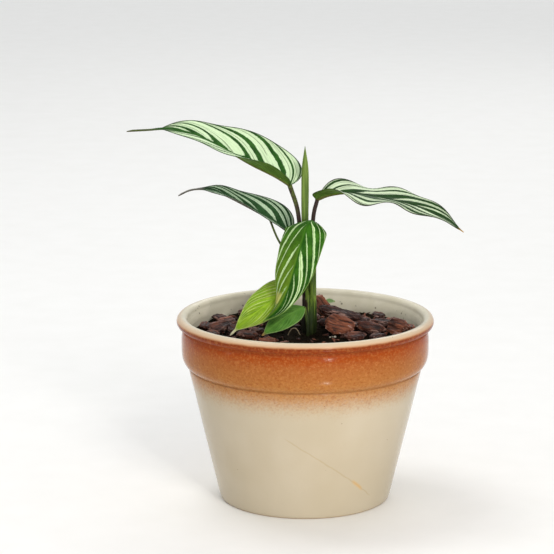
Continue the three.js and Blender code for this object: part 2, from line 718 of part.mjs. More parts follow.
// Where a chip comes to lie: lifted in small steps until it is clear of what lies there, and moved
// round the pot when there is no room under a leaf.
function layChip(n, chip, laid) {
  const [x, y, height, length, width, thickness, yaw, pitch, roll] = chip;
  const spread = soilRadius / DRAWN_SOIL_RADIUS;
  const reach = Math.hypot(x, y) * spread;
  const bearing = Math.atan2(y, x);
  const size = [length * CHIP_SIZE, width * CHIP_SIZE, thickness * CHIP_SIZE];
  const fat = chipGeometry(n, ...size, CLEARANCE);
  const mostLift = 12;
  for (let turn = 0; turn < 45; turn++) {
    const shift = turn * 8 * DEG;
    const placed = new THREE.Object3D();
    placed.rotation.set(roll * DEG, pitch * DEG, yaw * DEG + shift, "ZYX");
    const [px, py] = [reach * Math.cos(bearing + shift), reach * Math.sin(bearing + shift)];
    for (let lift = 0; lift <= mostLift; lift += 0.2) {
      placed.position.set(px, py, soilHeight(px, py) + height + lift);
      placed.updateMatrix();
      if (isClear(fat.clone().applyMatrix4(placed.matrix), laid)) {
        return { geometry: chipGeometry(n, ...size, 0), placed };
      }
    }
  }
  throw new Error(`there is no room for bark chip ${n}`);
}

// ---- Assembly ----

const root = new THREE.Group();
const laid = [];

// Adds a piece, and keeps its solid for what is laid after it.
function add(name, geometry, look, placed = null) {
  const mesh = new THREE.Mesh(geometry, material(...look));
  mesh.name = name;
  if (placed) {
    mesh.position.copy(placed.position);
    mesh.quaternion.copy(placed.quaternion);
  }
  mesh.updateMatrix();
  root.add(mesh);
  const world = plainGeometry(geometry).applyMatrix4(mesh.matrix);
  world.computeBoundingBox();
  laid.push({ name, box: world.boundingBox, solid: toSolid(world) });
}

// The green leaf near the soil has a petiole of its own, from the soil in front of the crown.
const LOW_STEM = [CROWN_X - 0.9, -(crownRadius * 1.05 + PETIOLE_RADIUS + CLEARANCE)];

const rooted = [
  [CROWN_X, 0, crownRadius, ROOT_DEPTH],
  [LOW_STEM[0], LOW_STEM[1], PETIOLE_RADIUS, LOW_ROOT_DEPTH],
];

add("pot", potGeometry(), GLAZE);
add("soil", soilGeometry(rooted), SOIL);
add("crown", crownGeometry(), GREEN_STEM);

for (const [name, blade] of Object.entries(BLADES)) {
  const look = name === "low_yellow" ? PALE_LEAF : LEAF;
  const steps = name.startsWith("low") ? 14 : 20;
  add(`blade_${name}`, bladeGeometry(blade, steps), look);
}
add("seedling_leaf", bladeGeometry(SEEDLING, 6, 2), LEAF);

for (const [name, { route, radius, look }] of Object.entries(PETIOLES)) {
  const radii = [radius, radius * 0.95, radius * 0.9];
  add(`petiole_${name}`, stemTo(`blade_${name}`, route, radii), look);
}

const lowX = CROWN_X + (LOW_STEM[0] - CROWN_X) / plantScale;
const lowY = LOW_STEM[1] / plantScale;
const lowFoot = heightAboveCrown(...LOW_STEM, -LOW_ROOT_DEPTH);
const lowRoute = [[lowX, lowY, lowFoot], [lowX, lowY, 4], [-0.3, -4.7, 13.9]];
const lowRadii = [PETIOLE_RADIUS, PETIOLE_RADIUS * 0.7];
add("petiole_low_green", stemTo("blade_low_green", lowRoute, lowRadii, 6), GREEN_STEM);
add("seedling_stem", stemTo("seedling_leaf", SEEDLING_ROUTE, [0.45, 0.4], 6), GREEN_STEM);

const rolledRoute = [[CROWN_X, 0, stemStart], [1.2, 1, 38], [-0.2, 2, 55], [-0.3, 2, 75], [-0.3, 2, 94.8]];
const rolledFoot = ROLLED_LEAF_FOOT_RADIUS;
const rolledMost = ROLLED_LEAF_RADIUS;
const rolledRadii = [rolledFoot, rolledFoot, rolledMost * 0.85, rolledMost, rolledMost * 0.95, 0.2];
add("rolled_new_leaf", stemGeometry(rolledRoute, rolledRadii, 16), PALE_LEAF);

const sheathRoute = [ringPoint(345), ringPoint(343, 28), [5.4, -1, 33.4]];
add("sheath_tip", stemGeometry(sheathRoute, [0.8, 0.75, 0.15], 6, 6), PALE_LEAF);

add("rootlet", stemGeometry(ROOTLET_ROUTE, [0.35, 0.35], 10, 6), ROOT);

CHIPS.forEach((chip, i) => {
  const n = i + 1;
  const { geometry, placed } = layChip(n, chip, laid);
  add(`bark_chip_${String(n).padStart(2, "0")}`, geometry, BARK, placed);
});

export default root;
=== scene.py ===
"""A potted calathea: a glazed pot with a rolled rim, a bed of soil and bark chips, and a small plant.

Lengths in the tables below are millimetres. The plant's points are measured from the foot of the
crown at soil level, and the pot's from the middle of its underside. MM turns them into metres.
"""

import math
from collections import namedtuple

import bmesh
import bpy
import numpy as np
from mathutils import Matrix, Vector, noise


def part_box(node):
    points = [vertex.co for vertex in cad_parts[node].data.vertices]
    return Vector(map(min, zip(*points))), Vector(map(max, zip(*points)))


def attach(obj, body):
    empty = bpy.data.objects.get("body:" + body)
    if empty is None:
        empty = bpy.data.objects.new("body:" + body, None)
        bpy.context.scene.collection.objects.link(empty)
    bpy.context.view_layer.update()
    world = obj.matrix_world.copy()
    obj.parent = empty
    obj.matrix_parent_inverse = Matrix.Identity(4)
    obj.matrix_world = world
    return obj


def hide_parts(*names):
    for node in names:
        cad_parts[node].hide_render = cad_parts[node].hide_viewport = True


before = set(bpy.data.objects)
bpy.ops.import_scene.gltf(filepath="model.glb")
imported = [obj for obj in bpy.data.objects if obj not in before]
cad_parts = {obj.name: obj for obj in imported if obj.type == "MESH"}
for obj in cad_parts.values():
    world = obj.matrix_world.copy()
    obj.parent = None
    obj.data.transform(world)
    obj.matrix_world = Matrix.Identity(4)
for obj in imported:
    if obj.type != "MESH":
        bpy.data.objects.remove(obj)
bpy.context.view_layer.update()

MM = 0.001
SEED = 7
draw = np.random.default_rng(SEED)

# ---- Sizes from the frame ----

_, pot_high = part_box("pot")
POT_HEIGHT = pot_high[2] / MM
RIM_RADIUS = pot_high[0] / MM
ROOT_DEPTH = 6.0
CROWN_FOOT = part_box("crown")[0][2] / MM + ROOT_DEPTH
CROWN_X = 2.1
CROWN_HEIGHT = 22.0
SOIL_DROP = 10.4
SOIL_LEVEL = POT_HEIGHT - SOIL_DROP


# ---- Node materials ----


def rgb(red, green, blue):
    """A colour from 0-255 display values as linear red, green, blue and alpha."""
    linear = []
    for value in (red, green, blue):
        share = value / 255
        linear.append(share / 12.92 if share <= 0.04045 else ((share + 0.055) / 1.055) ** 2.4)
    return (*linear, 1.0)


class Shader:
    """A node material being made. Its methods add nodes and give back the socket of the result."""

    def __init__(self, name):
        self.material = bpy.data.materials.new(name)
        self.material.use_nodes = True
        self.nodes = self.material.node_tree.nodes
        self.links = self.material.node_tree.links
        self.surface = self.nodes["Principled BSDF"]
        self.place = self.nodes.new("ShaderNodeTexCoord").outputs["Object"]

    def put(self, socket, value):
        if isinstance(value, bpy.types.NodeSocket):
            self.links.new(value, socket)
        else:
            socket.default_value = value

    def node(self, kind, inputs=(), **settings):
        """A new node with its settings, and with its inputs given in order or by name."""
        made = self.nodes.new(f"ShaderNode{kind}")
        for key, value in settings.items():
            setattr(made, key, value)
        for key, value in inputs.items() if isinstance(inputs, dict) else enumerate(inputs):
            self.put(made.inputs[key], value)
        return made

    def attribute(self, name, output="Fac"):
        return self.node("Attribute", attribute_name=name).outputs[output]

    def math(self, operation, *values):
        return self.node("Math", values, operation=operation).outputs[0]

    def times(self, a, *more):
        for b in more:
            a = self.math("MULTIPLY", a, b)
        return a

    def plus(self, a, *more):
        for b in more:
            a = self.math("ADD", a, b)
        return a

    def centred(self, value, reach):
        """A value of 0 to 1 moved to lie about 0, over the given reach."""
        return self.times(self.plus(value, -0.5), reach)

    def scaled(self, vector, scale):
        """The vector with each axis multiplied by its own number."""
        return self.node("VectorMath", (vector, scale), operation="MULTIPLY").outputs[0]

    def axes(self, vector):
        return self.node("SeparateXYZ", [vector]).outputs

    def joined(self, *parts):
        return self.node("CombineXYZ", parts).outputs[0]

    def noise(self, vector, scale, detail=3.0, roughness=0.55):
        """Noise from 0 to 1 with scale cells to a metre."""
        inputs = {"Vector": vector, "Scale": scale, "Detail": detail, "Roughness": roughness}
        return self.node("TexNoise", inputs).outputs["Fac"]

    def cells(self, vector, scale):
        """The distance to the nearest of scattered points, as a share of their spacing."""
        return self.node("TexVoronoi", {"Vector": vector, "Scale": scale}).outputs["Distance"]

    def step(self, value, low, high, start=0.0, end=1.0):
        """A smooth rise from start at low to end at high."""
        inputs = (value, low, high, start, end)
        return self.node("MapRange", inputs, interpolation_type="SMOOTHSTEP").outputs[0]

    def between(self, value, rise, fall):
        """A rise from 0 to 1 over the first pair of values, and a fall to 0 over the second."""
        return self.times(self.step(value, *rise), self.step(value, *fall, 1, 0))

    def ramp(self, value, stops):
        """A run of colours. Each stop is its place from 0 to 1 and its colour."""
        node = self.node("ValToRGB", [value])
        elements = node.color_ramp.elements
        while len(elements) < len(stops):
            elements.new(0.5)
        for element, (place, colour) in zip(elements, stops):
            element.position = place
            element.color = colour
        return node.outputs["Color"]

    def mix(self, share, a, b):
        """The colour a where share is 0 and b where it is 1."""
        return self.node("Mix", {0: share, 6: a, 7: b}, data_type="RGBA").outputs[2]

    def painted(self, colour, *coats):
        """The colour with each coat laid over it in turn. A coat is its mask and its colour."""
        for mask, coat in coats:
            colour = self.mix(mask, colour, coat)
        return colour

    def bump(self, height, depth, under=None):
        """Relief of height 0 to 1 that is depth millimetres deep."""
        inputs = {"Height": height, "Distance": depth * MM}
        if under is not None:
            inputs["Normal"] = under
        return self.node("Bump", inputs).outputs[0]

    def done(self, colour, roughness, normal=None, specular=0.5):
        self.put(self.surface.inputs["Base Color"], colour)
        self.put(self.surface.inputs["Roughness"], roughness)
        self.surface.inputs["Specular IOR Level"].default_value = specular
        if normal is not None:
            self.put(self.surface.inputs["Normal"], normal)
        return self.material


# ---- Meshes ----


def piece(
    name, points, faces, materials, nodes=(), attributes=None, material_of=None, sharp=None
):
    """A finished piece of the object: a mesh that rides on the only body."""
    mesh = bpy.data.meshes.new(name)
    mesh.from_pydata([tuple(p) for p in points], [], faces)
    mesh.update()
    for material in materials:
        mesh.materials.append(material)
    for polygon in mesh.polygons:
        polygon.use_smooth = True
    if material_of is not None:
        mesh.polygons.foreach_set("material_index", material_of)
    if sharp is not None:
        mesh.set_sharp_from_angle(angle=math.radians(sharp))
    for key, values in (attributes or {}).items():
        values = np.asarray(values, float)
        kind = "FLOAT" if values.ndim == 1 else "FLOAT_VECTOR"
        field = "value" if values.ndim == 1 else "vector"
        mesh.attributes.new(key, kind, "POINT").data.foreach_set(field, values.ravel())
    made = bpy.data.objects.new(name, mesh)
    bpy.context.scene.collection.objects.link(made)
    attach(made, "root")
    if nodes:
        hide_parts(*nodes)
    return made


def grid_faces(rows, columns, wrap=False, start=0, flip=False):
    """Quads between rows of points, each row columns long and, if wrap, joined into a ring."""
    faces = []
    last = columns if wrap else columns - 1
    for i in range(rows - 1):
        for j in range(last):
            k = (j + 1) % columns
            a = start + i * columns + j
            b = start + i * columns + k
            c = start + (i + 1) * columns + k
            d = start + (i + 1) * columns + j
            faces.append((a, d, c, b) if flip else (a, b, c, d))
    return faces


def capped_faces(rows, sides, flip=False):
    """The faces of a closed skin of rings. Its last two points are the hubs of its end fans."""
    faces = grid_faces(rows, sides, wrap=True, flip=flip)
    first, last = rows * sides, (rows - 1) * sides
    for j in range(sides):
        k = (j + 1) % sides
        if flip:
            faces += [(first, j, k), (first + 1, last + k, last + j)]
        else:
            faces += [(first, k, j), (first + 1, last + j, last + k)]
    return faces


def with_modifiers(item):
    """A new mesh that is the object's mesh with its modifiers applied."""
    return bpy.data.meshes.new_from_object(item.evaluated_get(bpy.context.evaluated_depsgraph_get()))


def ring_angles(sides):
    return [2 * math.pi * j / sides for j in range(sides)]


def polar(radius, angle):
    return radius * math.cos(angle), radius * math.sin(angle)


def turned(a, b, angle):
    """The point a, b turned about the origin."""
    return a * math.cos(angle) - b * math.sin(angle), a * math.sin(angle) + b * math.cos(angle)


def run(values, u):
    """A smooth run through evenly spaced values or points, at each u from 0 to 1."""
    values = np.asarray(values, float)
    flat = values.ndim == 1
    if flat:
        values = values[:, None]
    last = len(values) - 1
    x = np.clip(np.asarray(u, float), 0, 1) * last
    i = np.minimum(x.astype(int), last - 1)
    f = (x - i)[..., None]
    ends = np.vstack([2 * values[0] - values[1], values, 2 * values[-1] - values[-2]])
    a, b, c, d = (ends[i + k] for k in range(4))
    bend = (2 * a - 5 * b + 4 * c - d) * f**2 + (3 * b - a - 3 * c + d) * f**3
    found = 0.5 * (2 * b + (c - a) * f + bend)
    return found[..., 0] if flat else found


def unit(vectors):
    return vectors / np.linalg.norm(vectors, axis=-1, keepdims=True)


def smooth(x, low, high):
    t = np.clip((x - low) / (high - low), 0, 1)
    return t * t * (3 - 2 * t)


def fractal(point, octaves):
    """Repeatable noise of about -1 to 1 at a point."""
    return noise.fractal(point, 1.0, 2.0, octaves)


# ---- Pot ----

GROOVE_DEPTH = 29.5
COLLAR_DEPTH = 21.0
COLLAR_RADIUS = RIM_RADIUS - 2.5
GROOVE_RADIUS = COLLAR_RADIUS - 4.0
# The foot is 86.4 mm across where the rim is 130 mm.
FOOT_RADIUS = RIM_RADIUS * 86.4 / 130
ROLL_RADIUS = 2.75
WALL = 4.5
FLOOR = 6.0
GROOVE_HEIGHT = POT_HEIGHT - GROOVE_DEPTH
COLLAR_FOOT = POT_HEIGHT - COLLAR_DEPTH
DRAIN_HOLES = 3
DRAIN_RADIUS = 2.5
DRAIN_OFFSET = 18.0
DRAIN_TURN = 0.5
POT_SIDES = 240
POT_WOBBLE = 0.12
LONGEST_STEP = 1.5


def outer_radius(z):
    return FOOT_RADIUS + (GROOVE_RADIUS - FOOT_RADIUS) * min(1, max(0, z / GROOVE_HEIGHT))


def rounded(corners, steps=5):
    """A polyline whose corners are rounded. Each corner is radius, height and the reach of its arc."""
    line = []
    for i, (r, z, reach) in enumerate(corners):
        here = Vector((r, z))
        if reach == 0 or i in (0, len(corners) - 1):
            line.append(here)
            continue
        before = Vector(corners[i - 1][:2]) - here
        after = Vector(corners[i + 1][:2]) - here
        start = here + before.normalized() * min(reach, before.length * 0.48)
        end = here + after.normalized() * min(reach, after.length * 0.48)
        for k in range(steps + 1):
            t = k / steps
            line.append(start * (1 - t) ** 2 + here * 2 * t * (1 - t) + end * t * t)
    return line


def subdivided(line, longest):
    """The polyline with no step longer than the given length."""
    full = [line[0]]
    for a, b in zip(line, line[1:]):
        count = max(1, math.ceil((b - a).length / longest))
        full += [a.lerp(b, k / count) for k in range(1, count + 1)]
    return full


def pot_profile():
    """The pot's section from the middle of its underside, over the rim, to the middle of its floor."""
    roll_centre = Vector((RIM_RADIUS - ROLL_RADIUS, POT_HEIGHT - ROLL_RADIUS))
    outside = [
        (0, 0, 0),
        (0, 0.6, 0),
        (FOOT_RADIUS - 5.5, 0.6, 0.8),
        (FOOT_RADIUS - 4.5, 0, 0.8),
        (FOOT_RADIUS - 0.2, 0, 1.4),
        (outer_radius(3), 3, 1.2),
        (outer_radius(GROOVE_HEIGHT - 4), GROOVE_HEIGHT - 4, 3),
        (GROOVE_RADIUS + 0.15, GROOVE_HEIGHT + 0.6, 1.6),
        (GROOVE_RADIUS + 0.55, GROOVE_HEIGHT + 2.9, 0.5),
        (GROOVE_RADIUS + 0.25, GROOVE_HEIGHT + 3.5, 0.35),
        (GROOVE_RADIUS + 2.2, GROOVE_HEIGHT + 4.9, 1.6),
        (COLLAR_RADIUS - 0.35, COLLAR_FOOT - 0.6, 2.6),
        (COLLAR_RADIUS + 0.02, COLLAR_FOOT + 3.5, 2),
        (COLLAR_RADIUS, POT_HEIGHT - 10.5, 2),
        (COLLAR_RADIUS - 0.7, POT_HEIGHT - 6.6, 1.4),
        (COLLAR_RADIUS - 0.6, POT_HEIGHT - 5.5, 0.5),
    ]
    line = rounded(outside)
    for angle in range(-70, 181, 10):
        line.append(roll_centre + Vector(polar(1, math.radians(angle))) * ROLL_RADIUS)
    inside = [
        (RIM_RADIUS - 2 * ROLL_RADIUS, POT_HEIGHT - ROLL_RADIUS, 0),
        (COLLAR_RADIUS - WALL + 0.4, POT_HEIGHT - 5.5, 2),
        (COLLAR_RADIUS - WALL, POT_HEIGHT - 9, 3),
        (COLLAR_RADIUS - WALL - 0.3, COLLAR_FOOT + 3, 3),
        (GROOVE_RADIUS - WALL, GROOVE_HEIGHT, 6),
        (outer_radius(FLOOR) - WALL, FLOOR, 5),
        (0, FLOOR, 0),
    ]
    return subdivided(line + rounded(inside)[1:], LONGEST_STEP)


def lathe(profile, sides, wobble):
    """A closed turned skin, a little out of round, whose profile starts and ends on the axis."""
    points = []
    for r, z in profile[1:-1]:
        for angle in ring_angles(sides):
            spot = Vector((*polar(1.4, angle), z * 0.03))
            x, y = polar(r + wobble * fractal(spot, 2) * min(1, r / 20), angle)
            points.append((x * MM, y * MM, z * MM))
    points += [(0, 0, profile[0][1] * MM), (0, 0, profile[-1][1] * MM)]
    return points, capped_faces(len(profile) - 2, sides)


CREAM = rgb(193, 180, 157)
CREAM_DRIFT = rgb(187, 173, 148)
CREAM_LOW = rgb(188, 176, 152)
CREAM_SPECK = rgb(176, 140, 96)
PALE_FRECKLE = rgb(206, 142, 80)
DARK_FRECKLE = rgb(140, 66, 24)
INSIDE_CREAM = rgb(212, 204, 180)
INSIDE_BLOTCH = rgb(219, 211, 189)
LIP_OUTER = rgb(196, 132, 80)
LIP_TOP = rgb(210, 186, 156)
SEAM_LINE = rgb(120, 78, 44)
HAIRLINE = rgb(164, 136, 90)
STAIN = rgb(208, 160, 84)
CRUMB = rgb(74, 58, 40)
IRON = rgb(92, 66, 44)
BARE_CLAY = rgb(196, 170, 134)
# The spray's colours by height, from SPRAY_FOOT up over SPRAY_REACH, and where it fades in.
SPRAY_FOOT = 54
SPRAY_REACH = 40
SPRAY_FADE = (53, 68)
SPRAY = [
    (0.0, rgb(184, 155, 118)),
    (0.25, rgb(176, 130, 84)),
    (0.45, rgb(166, 108, 54)),
    (0.66, rgb(161, 92, 41)),
    (0.80, rgb(156, 66, 16)),
    (0.95, rgb(118, 42, 8)),
]
# The hairline's ends, as degrees round from the front and height, and where its stain is.
HAIRLINE_START = (-11.0, 44.3)
HAIRLINE_END = (46.0, 8.9)
STAIN_TURN = 33.5


def sprayed_glaze(s, height, grain, blotch, drift):
    """Cream below, and the spray from the foot of the collar up: amber, then rust, with freckles."""
    cream = s.painted(
        CREAM,
        (s.step(drift, 0.3, 0.7), CREAM_DRIFT),
        (s.step(height, 0, 30, 0.35, 0), CREAM_LOW),
        (s.step(grain, 0.66, 0.74, 0, 0.25), CREAM_SPECK),
    )
    wander = s.plus(height, s.centred(blotch, 3.4), s.centred(grain, 9))
    pale_freckle = s.noise(s.place, 760, 3, 0.7)
    dark_freckle = s.noise(s.scaled(s.place, (1, 1, 1.3)), 760, 3, 0.7)
    sprayed = s.painted(
        s.ramp(s.times(s.plus(wander, -SPRAY_FOOT), 1 / SPRAY_REACH), SPRAY),
        (s.step(pale_freckle, 0.45, 0.7, 0, 0.3), PALE_FRECKLE),
        (s.step(dark_freckle, 0.48, 0.66, 0, 0.5), DARK_FRECKLE),
    )
    return s.mix(s.step(wander, *SPRAY_FADE), cream, sprayed)


def hairline_coats(s, x, y, height, drift):
    """A faint hairline that runs down the front to the right, and a small rusty stain on it."""
    angle = s.times(s.math("ARCTAN2", x, s.times(y, -1)), 180 / math.pi)
    start_turn, start_height = HAIRLINE_START
    end_turn, end_height = HAIRLINE_END
    slope = (end_height - start_height) / (end_turn - start_turn)
    fall = s.plus(start_height, s.times(s.plus(angle, -start_turn), slope))
    jitter = s.centred(s.noise(s.place, 200, 3), 2.0)
    off = s.math("ABSOLUTE", s.plus(height, s.times(fall, -1), jitter))
    on_run = s.between(angle, (start_turn - 1, start_turn + 3), (end_turn - 4, end_turn + 2))
    line = s.times(s.step(off, 0.1, 0.7, 0.28, 0), on_run, s.step(drift, 0.3, 0.6, 0.5, 1))
    stain_start = (STAIN_TURN - 5.5, STAIN_TURN - 1.5)
    stain_end = (STAIN_TURN + 1.5, STAIN_TURN + 5.5)
    stain = s.times(s.step(off, 0.4, 1.7, 0.5, 0), s.between(angle, stain_start, stain_end))
    return (line, HAIRLINE), (stain, STAIN)


def glaze_material():
    """Cream glaze with an orange-brown spray round the collar, speckled, and a hairline under it."""
    s = Shader("glaze")
    x, y, z = s.axes(s.place)
    height = s.times(z, 1 / MM)
    radius = s.times(s.math("SQRT", s.plus(s.times(x, x), s.times(y, y))), 1 / MM)
    grain = s.noise(s.place, 900, 4, 0.7)
    blotch = s.noise(s.place, 140, 3)
    drift = s.noise(s.place, 30, 2)
    outside = s.step(radius, GROOVE_RADIUS - 1.5, GROOVE_RADIUS - 0.5)

    # The lip and the inside stay cream: the spray stops on the outer side of the roll.
    lip_edge = s.plus(height, s.centred(blotch, 0.8))
    on_top = s.step(lip_edge, POT_HEIGHT - 2.9, POT_HEIGHT - 1.5)
    inner = s.step(radius, RIM_RADIUS - 4.8, RIM_RADIUS - 4.1, 1, 0)
    inner = s.times(inner, s.step(height, POT_HEIGHT - 7, POT_HEIGHT - 5))
    well = s.step(radius, COLLAR_RADIUS - 2.6, COLLAR_RADIUS - 1.6, 1, 0)
    well = s.times(well, s.step(height, GROOVE_HEIGHT + 6, GROOVE_HEIGHT + 8))
    bare = s.math("MAXIMUM", on_top, s.math("MAXIMUM", inner, well))
    bowl = s.mix(s.step(blotch, 0.35, 0.7), INSIDE_CREAM, INSIDE_BLOTCH)
    lip = s.mix(s.step(height, POT_HEIGHT - 3.0, POT_HEIGHT - 0.5), LIP_OUTER, LIP_TOP)
    unsprayed = s.mix(s.step(radius, RIM_RADIUS - 3.4, RIM_RADIUS - 1.0), bowl, lip)

    # A thin darker line lies in the seam at the foot of the collar. Crumbs of soil stick to the
    # inner wall, most of them just over the bed, and a few iron specks are on all of the glaze.
    seam = s.math("ABSOLUTE", s.plus(height, -(GROOVE_HEIGHT + 3.4)))
    seam = s.times(s.step(seam, 0.15, 0.75, 0.4, 0), outside)
    sparse = s.plus(s.noise(s.place, 150, 3), s.step(height, SOIL_LEVEL, SOIL_LEVEL + 11, 0.1, 0.0))
    crumbs = s.times(s.step(s.cells(s.place, 420), 0.14, 0.3, 0.7, 0), s.step(sparse, 0.6, 0.66), well)
    iron = s.step(s.cells(s.place, 170), 0.02, 0.055, 0.7, 0)
    iron = s.times(iron, s.step(s.noise(s.place, 45, 1), 0.52, 0.6))
    foot = s.step(height, 0.25, 0.7, 1, 0)
    colour = s.painted(
        sprayed_glaze(s, height, grain, blotch, drift),
        (bare, unsprayed),
        (seam, SEAM_LINE),
        *hairline_coats(s, x, y, height, drift),
        (crumbs, CRUMB),
        (iron, IRON),
        (foot, BARE_CLAY),
    )

    # The bare clay ring that the pot stands on is dull, and so is the crease under the roll.
    crease = s.between(height, (POT_HEIGHT - 8, POT_HEIGHT - 7), (POT_HEIGHT - 5, POT_HEIGHT - 4))
    dullness = s.plus(0.1, s.times(grain, 0.09), s.times(foot, 0.6), s.times(crease, outside, 0.45))
    relief = s.bump(s.noise(s.place, 90, 2), 0.25)
    return s.done(colour, dullness, s.bump(grain, 0.03, relief), 0.11)


def make_pot():
    points, faces = lathe([(p.x, p.y) for p in pot_profile()], POT_SIDES, POT_WOBBLE)
    pot = piece("glazed_pot", points, faces, [glaze_material()], ["pot"])
    for i in range(DRAIN_HOLES):
        x, y = polar(DRAIN_OFFSET * MM, 2 * math.pi * i / DRAIN_HOLES + DRAIN_TURN)
        bpy.ops.mesh.primitive_cylinder_add(
            vertices=48, radius=DRAIN_RADIUS * MM, depth=4 * FLOOR * MM, location=(x, y, 0)
        )
        drill = bpy.context.object
        cut = pot.modifiers.new("drain", "BOOLEAN")
        cut.operation = "DIFFERENCE"
        cut.solver = "EXACT"
        cut.object = drill
        shaped = with_modifiers(pot)
        pot.modifiers.clear()
        pot.data = shaped
        bpy.data.objects.remove(drill)
    for polygon in pot.data.polygons:
        polygon.use_smooth = True
    pot.data.set_sharp_from_angle(angle=math.radians(50))
    return pot


# ---- Soil ----

SOIL_GAP = 0.32
SOIL_RADIUS = COLLAR_RADIUS - WALL - SOIL_GAP
SOIL_RISE = 0.9
SOIL_SIDES = 300
SOIL_RINGS = 96
CRUMBS = 1100
# Pale grains of perlite: x, y and radius.
PERLITE = [(12.5, -13.5, 0.9), (15.0, -12.8, 1.3), (13.5, -9.5, 0.8), (-10, -20, 0.6), (6, -31, 0.5)]


def soil_height(x, y):
    """The height of the bed without its crumbs."""
    share = min(1, math.hypot(x, y) / SOIL_RADIUS)
    bumps = 0.35 * math.sin(x * 0.21 + 1.3) * math.cos(y * 0.17 - 0.4)
    return SOIL_LEVEL + SOIL_RISE * (1 - share**2) + bumps * (1 - share**4)


def soil_surface(x, y):
    lumps = 0.9 * fractal(Vector((x / 7, y / 7, 1.7)), 3)
    crumbs = 0.9 * abs(fractal(Vector((x / 1.9, y / 1.9, 4.1)), 3))
    return soil_height(x, y) + lumps + crumbs - 0.4


def soil_material():
    """Dark peat with a few fine fibres in it, and pale grit where the pale attribute is 1."""
    s = Shader("soil")
    fine = s.noise(s.place, 1600, 4, 0.7)
    broad = s.noise(s.place, 160, 3)
    thread = s.noise(s.scaled(s.place, (1, 0.12, 1)), 1400, 2)
    grit = s.mix(s.step(fine, 0.4, 0.7), rgb(214, 206, 190), rgb(168, 158, 140))
    colour = s.painted(
        rgb(17, 14, 9),
        (s.step(broad, 0.3, 0.7), rgb(32, 25, 16)),
        (s.step(fine, 0.5, 0.75), rgb(50, 38, 24)),
        (s.step(thread, 0.66, 0.74, 0, 0.5), rgb(104, 80, 52)),
        (s.attribute("pale"), grit),
    )
    return s.done(colour, s.step(fine, 0.3, 0.8, 0.9, 1.0), s.bump(fine, 0.5), 0.04)


def make_soil(material):
    """The bed: its rough top, and a plain side and underside against the pot's wall and floor."""
    points = []
    for i in range(1, SOIL_RINGS + 1):
        for angle in ring_angles(SOIL_SIDES):
            x, y = polar(SOIL_RADIUS * i / SOIL_RINGS, angle)
            points.append((x * MM, y * MM, soil_surface(x, y) * MM))
    side = [
        (COLLAR_RADIUS - WALL - 0.3 - SOIL_GAP, COLLAR_FOOT + 3),
        (GROOVE_RADIUS - WALL + 0.6 - SOIL_GAP, GROOVE_HEIGHT + 3),
        (GROOVE_RADIUS - WALL - 0.9 - SOIL_GAP, GROOVE_HEIGHT - 3),
        (outer_radius(FLOOR + 5) - WALL - SOIL_GAP, FLOOR + 5),
        (outer_radius(FLOOR) - WALL - 5 - SOIL_GAP, FLOOR + 0.35),
    ]
    for r, z in side:
        for angle in ring_angles(SOIL_SIDES):
            x, y = polar(r, angle)
            points.append((x * MM, y * MM, z * MM))
    points += [(0, 0, soil_surface(0, 0) * MM), (0, 0, side[-1][1] * MM)]
    faces = capped_faces(SOIL_RINGS + len(side), SOIL_SIDES, flip=True)
    piece("soil_bed", points, faces, [material], ["soil"], {"pale": np.zeros(len(points))})


def lump_mesh():
    """The points and triangles of a rounded lump of radius 1."""
    lump = bmesh.new()
    bmesh.ops.create_icosphere(lump, subdivisions=1, radius=1)
    points = np.array([v.co[:] for v in lump.verts])
    faces = [tuple(v.index for v in f.verts) for f in lump.faces]
    lump.free()
    return points, faces


def make_crumbs(material):
    """Loose crumbs of peat over the bed, and a few pale grains of perlite near the crown."""
    ball, ball_faces = lump_mesh()
    points, faces, pale, spots = [], [], [], []
    for _ in range(CRUMBS):
        r = SOIL_RADIUS * math.sqrt(draw.uniform(0.0, 0.96))
        angle = draw.uniform(0, 2 * math.pi)
        size = 0.25 + 0.85 * draw.uniform() ** 2.5
        spots.append((*polar(r, angle), size, 0.0))
    spots += [(x, y, size, 1.0) for x, y, size in PERLITE]
    for x, y, size, is_pale in spots:
        squash = draw.uniform(0.5, 1.0, 3) * size
        turn = draw.uniform(0, 2 * math.pi)
        jag = 1 + draw.uniform(-0.28, 0.28, len(ball))[:, None]
        a, b, c = (ball * jag * squash).T
        px, py = turned(a, b, turn)
        start = len(points)
        base = np.array([x, y, soil_surface(x, y) + 0.25 * size])
        points += [tuple(p) for p in (np.stack([px, py, c], axis=1) + base) * MM]
        faces += [tuple(start + k for k in f) for f in ball_faces]
        pale += [is_pale] * len(ball)
    piece("soil_crumbs", points, faces, [material], (), {"pale": pale})


# ---- Bark chips ----

CHIPS = 35
CHIP_CELL = 0.36
# How far each chip that shows is from the common brown: warm is the orange of a fresh face.
CHIP_WARMTH = {4: 0.8, 5: 0.05, 6: 0.7, 7: 0.35, 8: 0.0, 9: 0.5, 19: 0.85, 17: 0.4, 13: 0.25}
COMMON_WARMTH = 0.3
PLATES = 4
FLAKES = 420
FLAKE_SIDES = 6


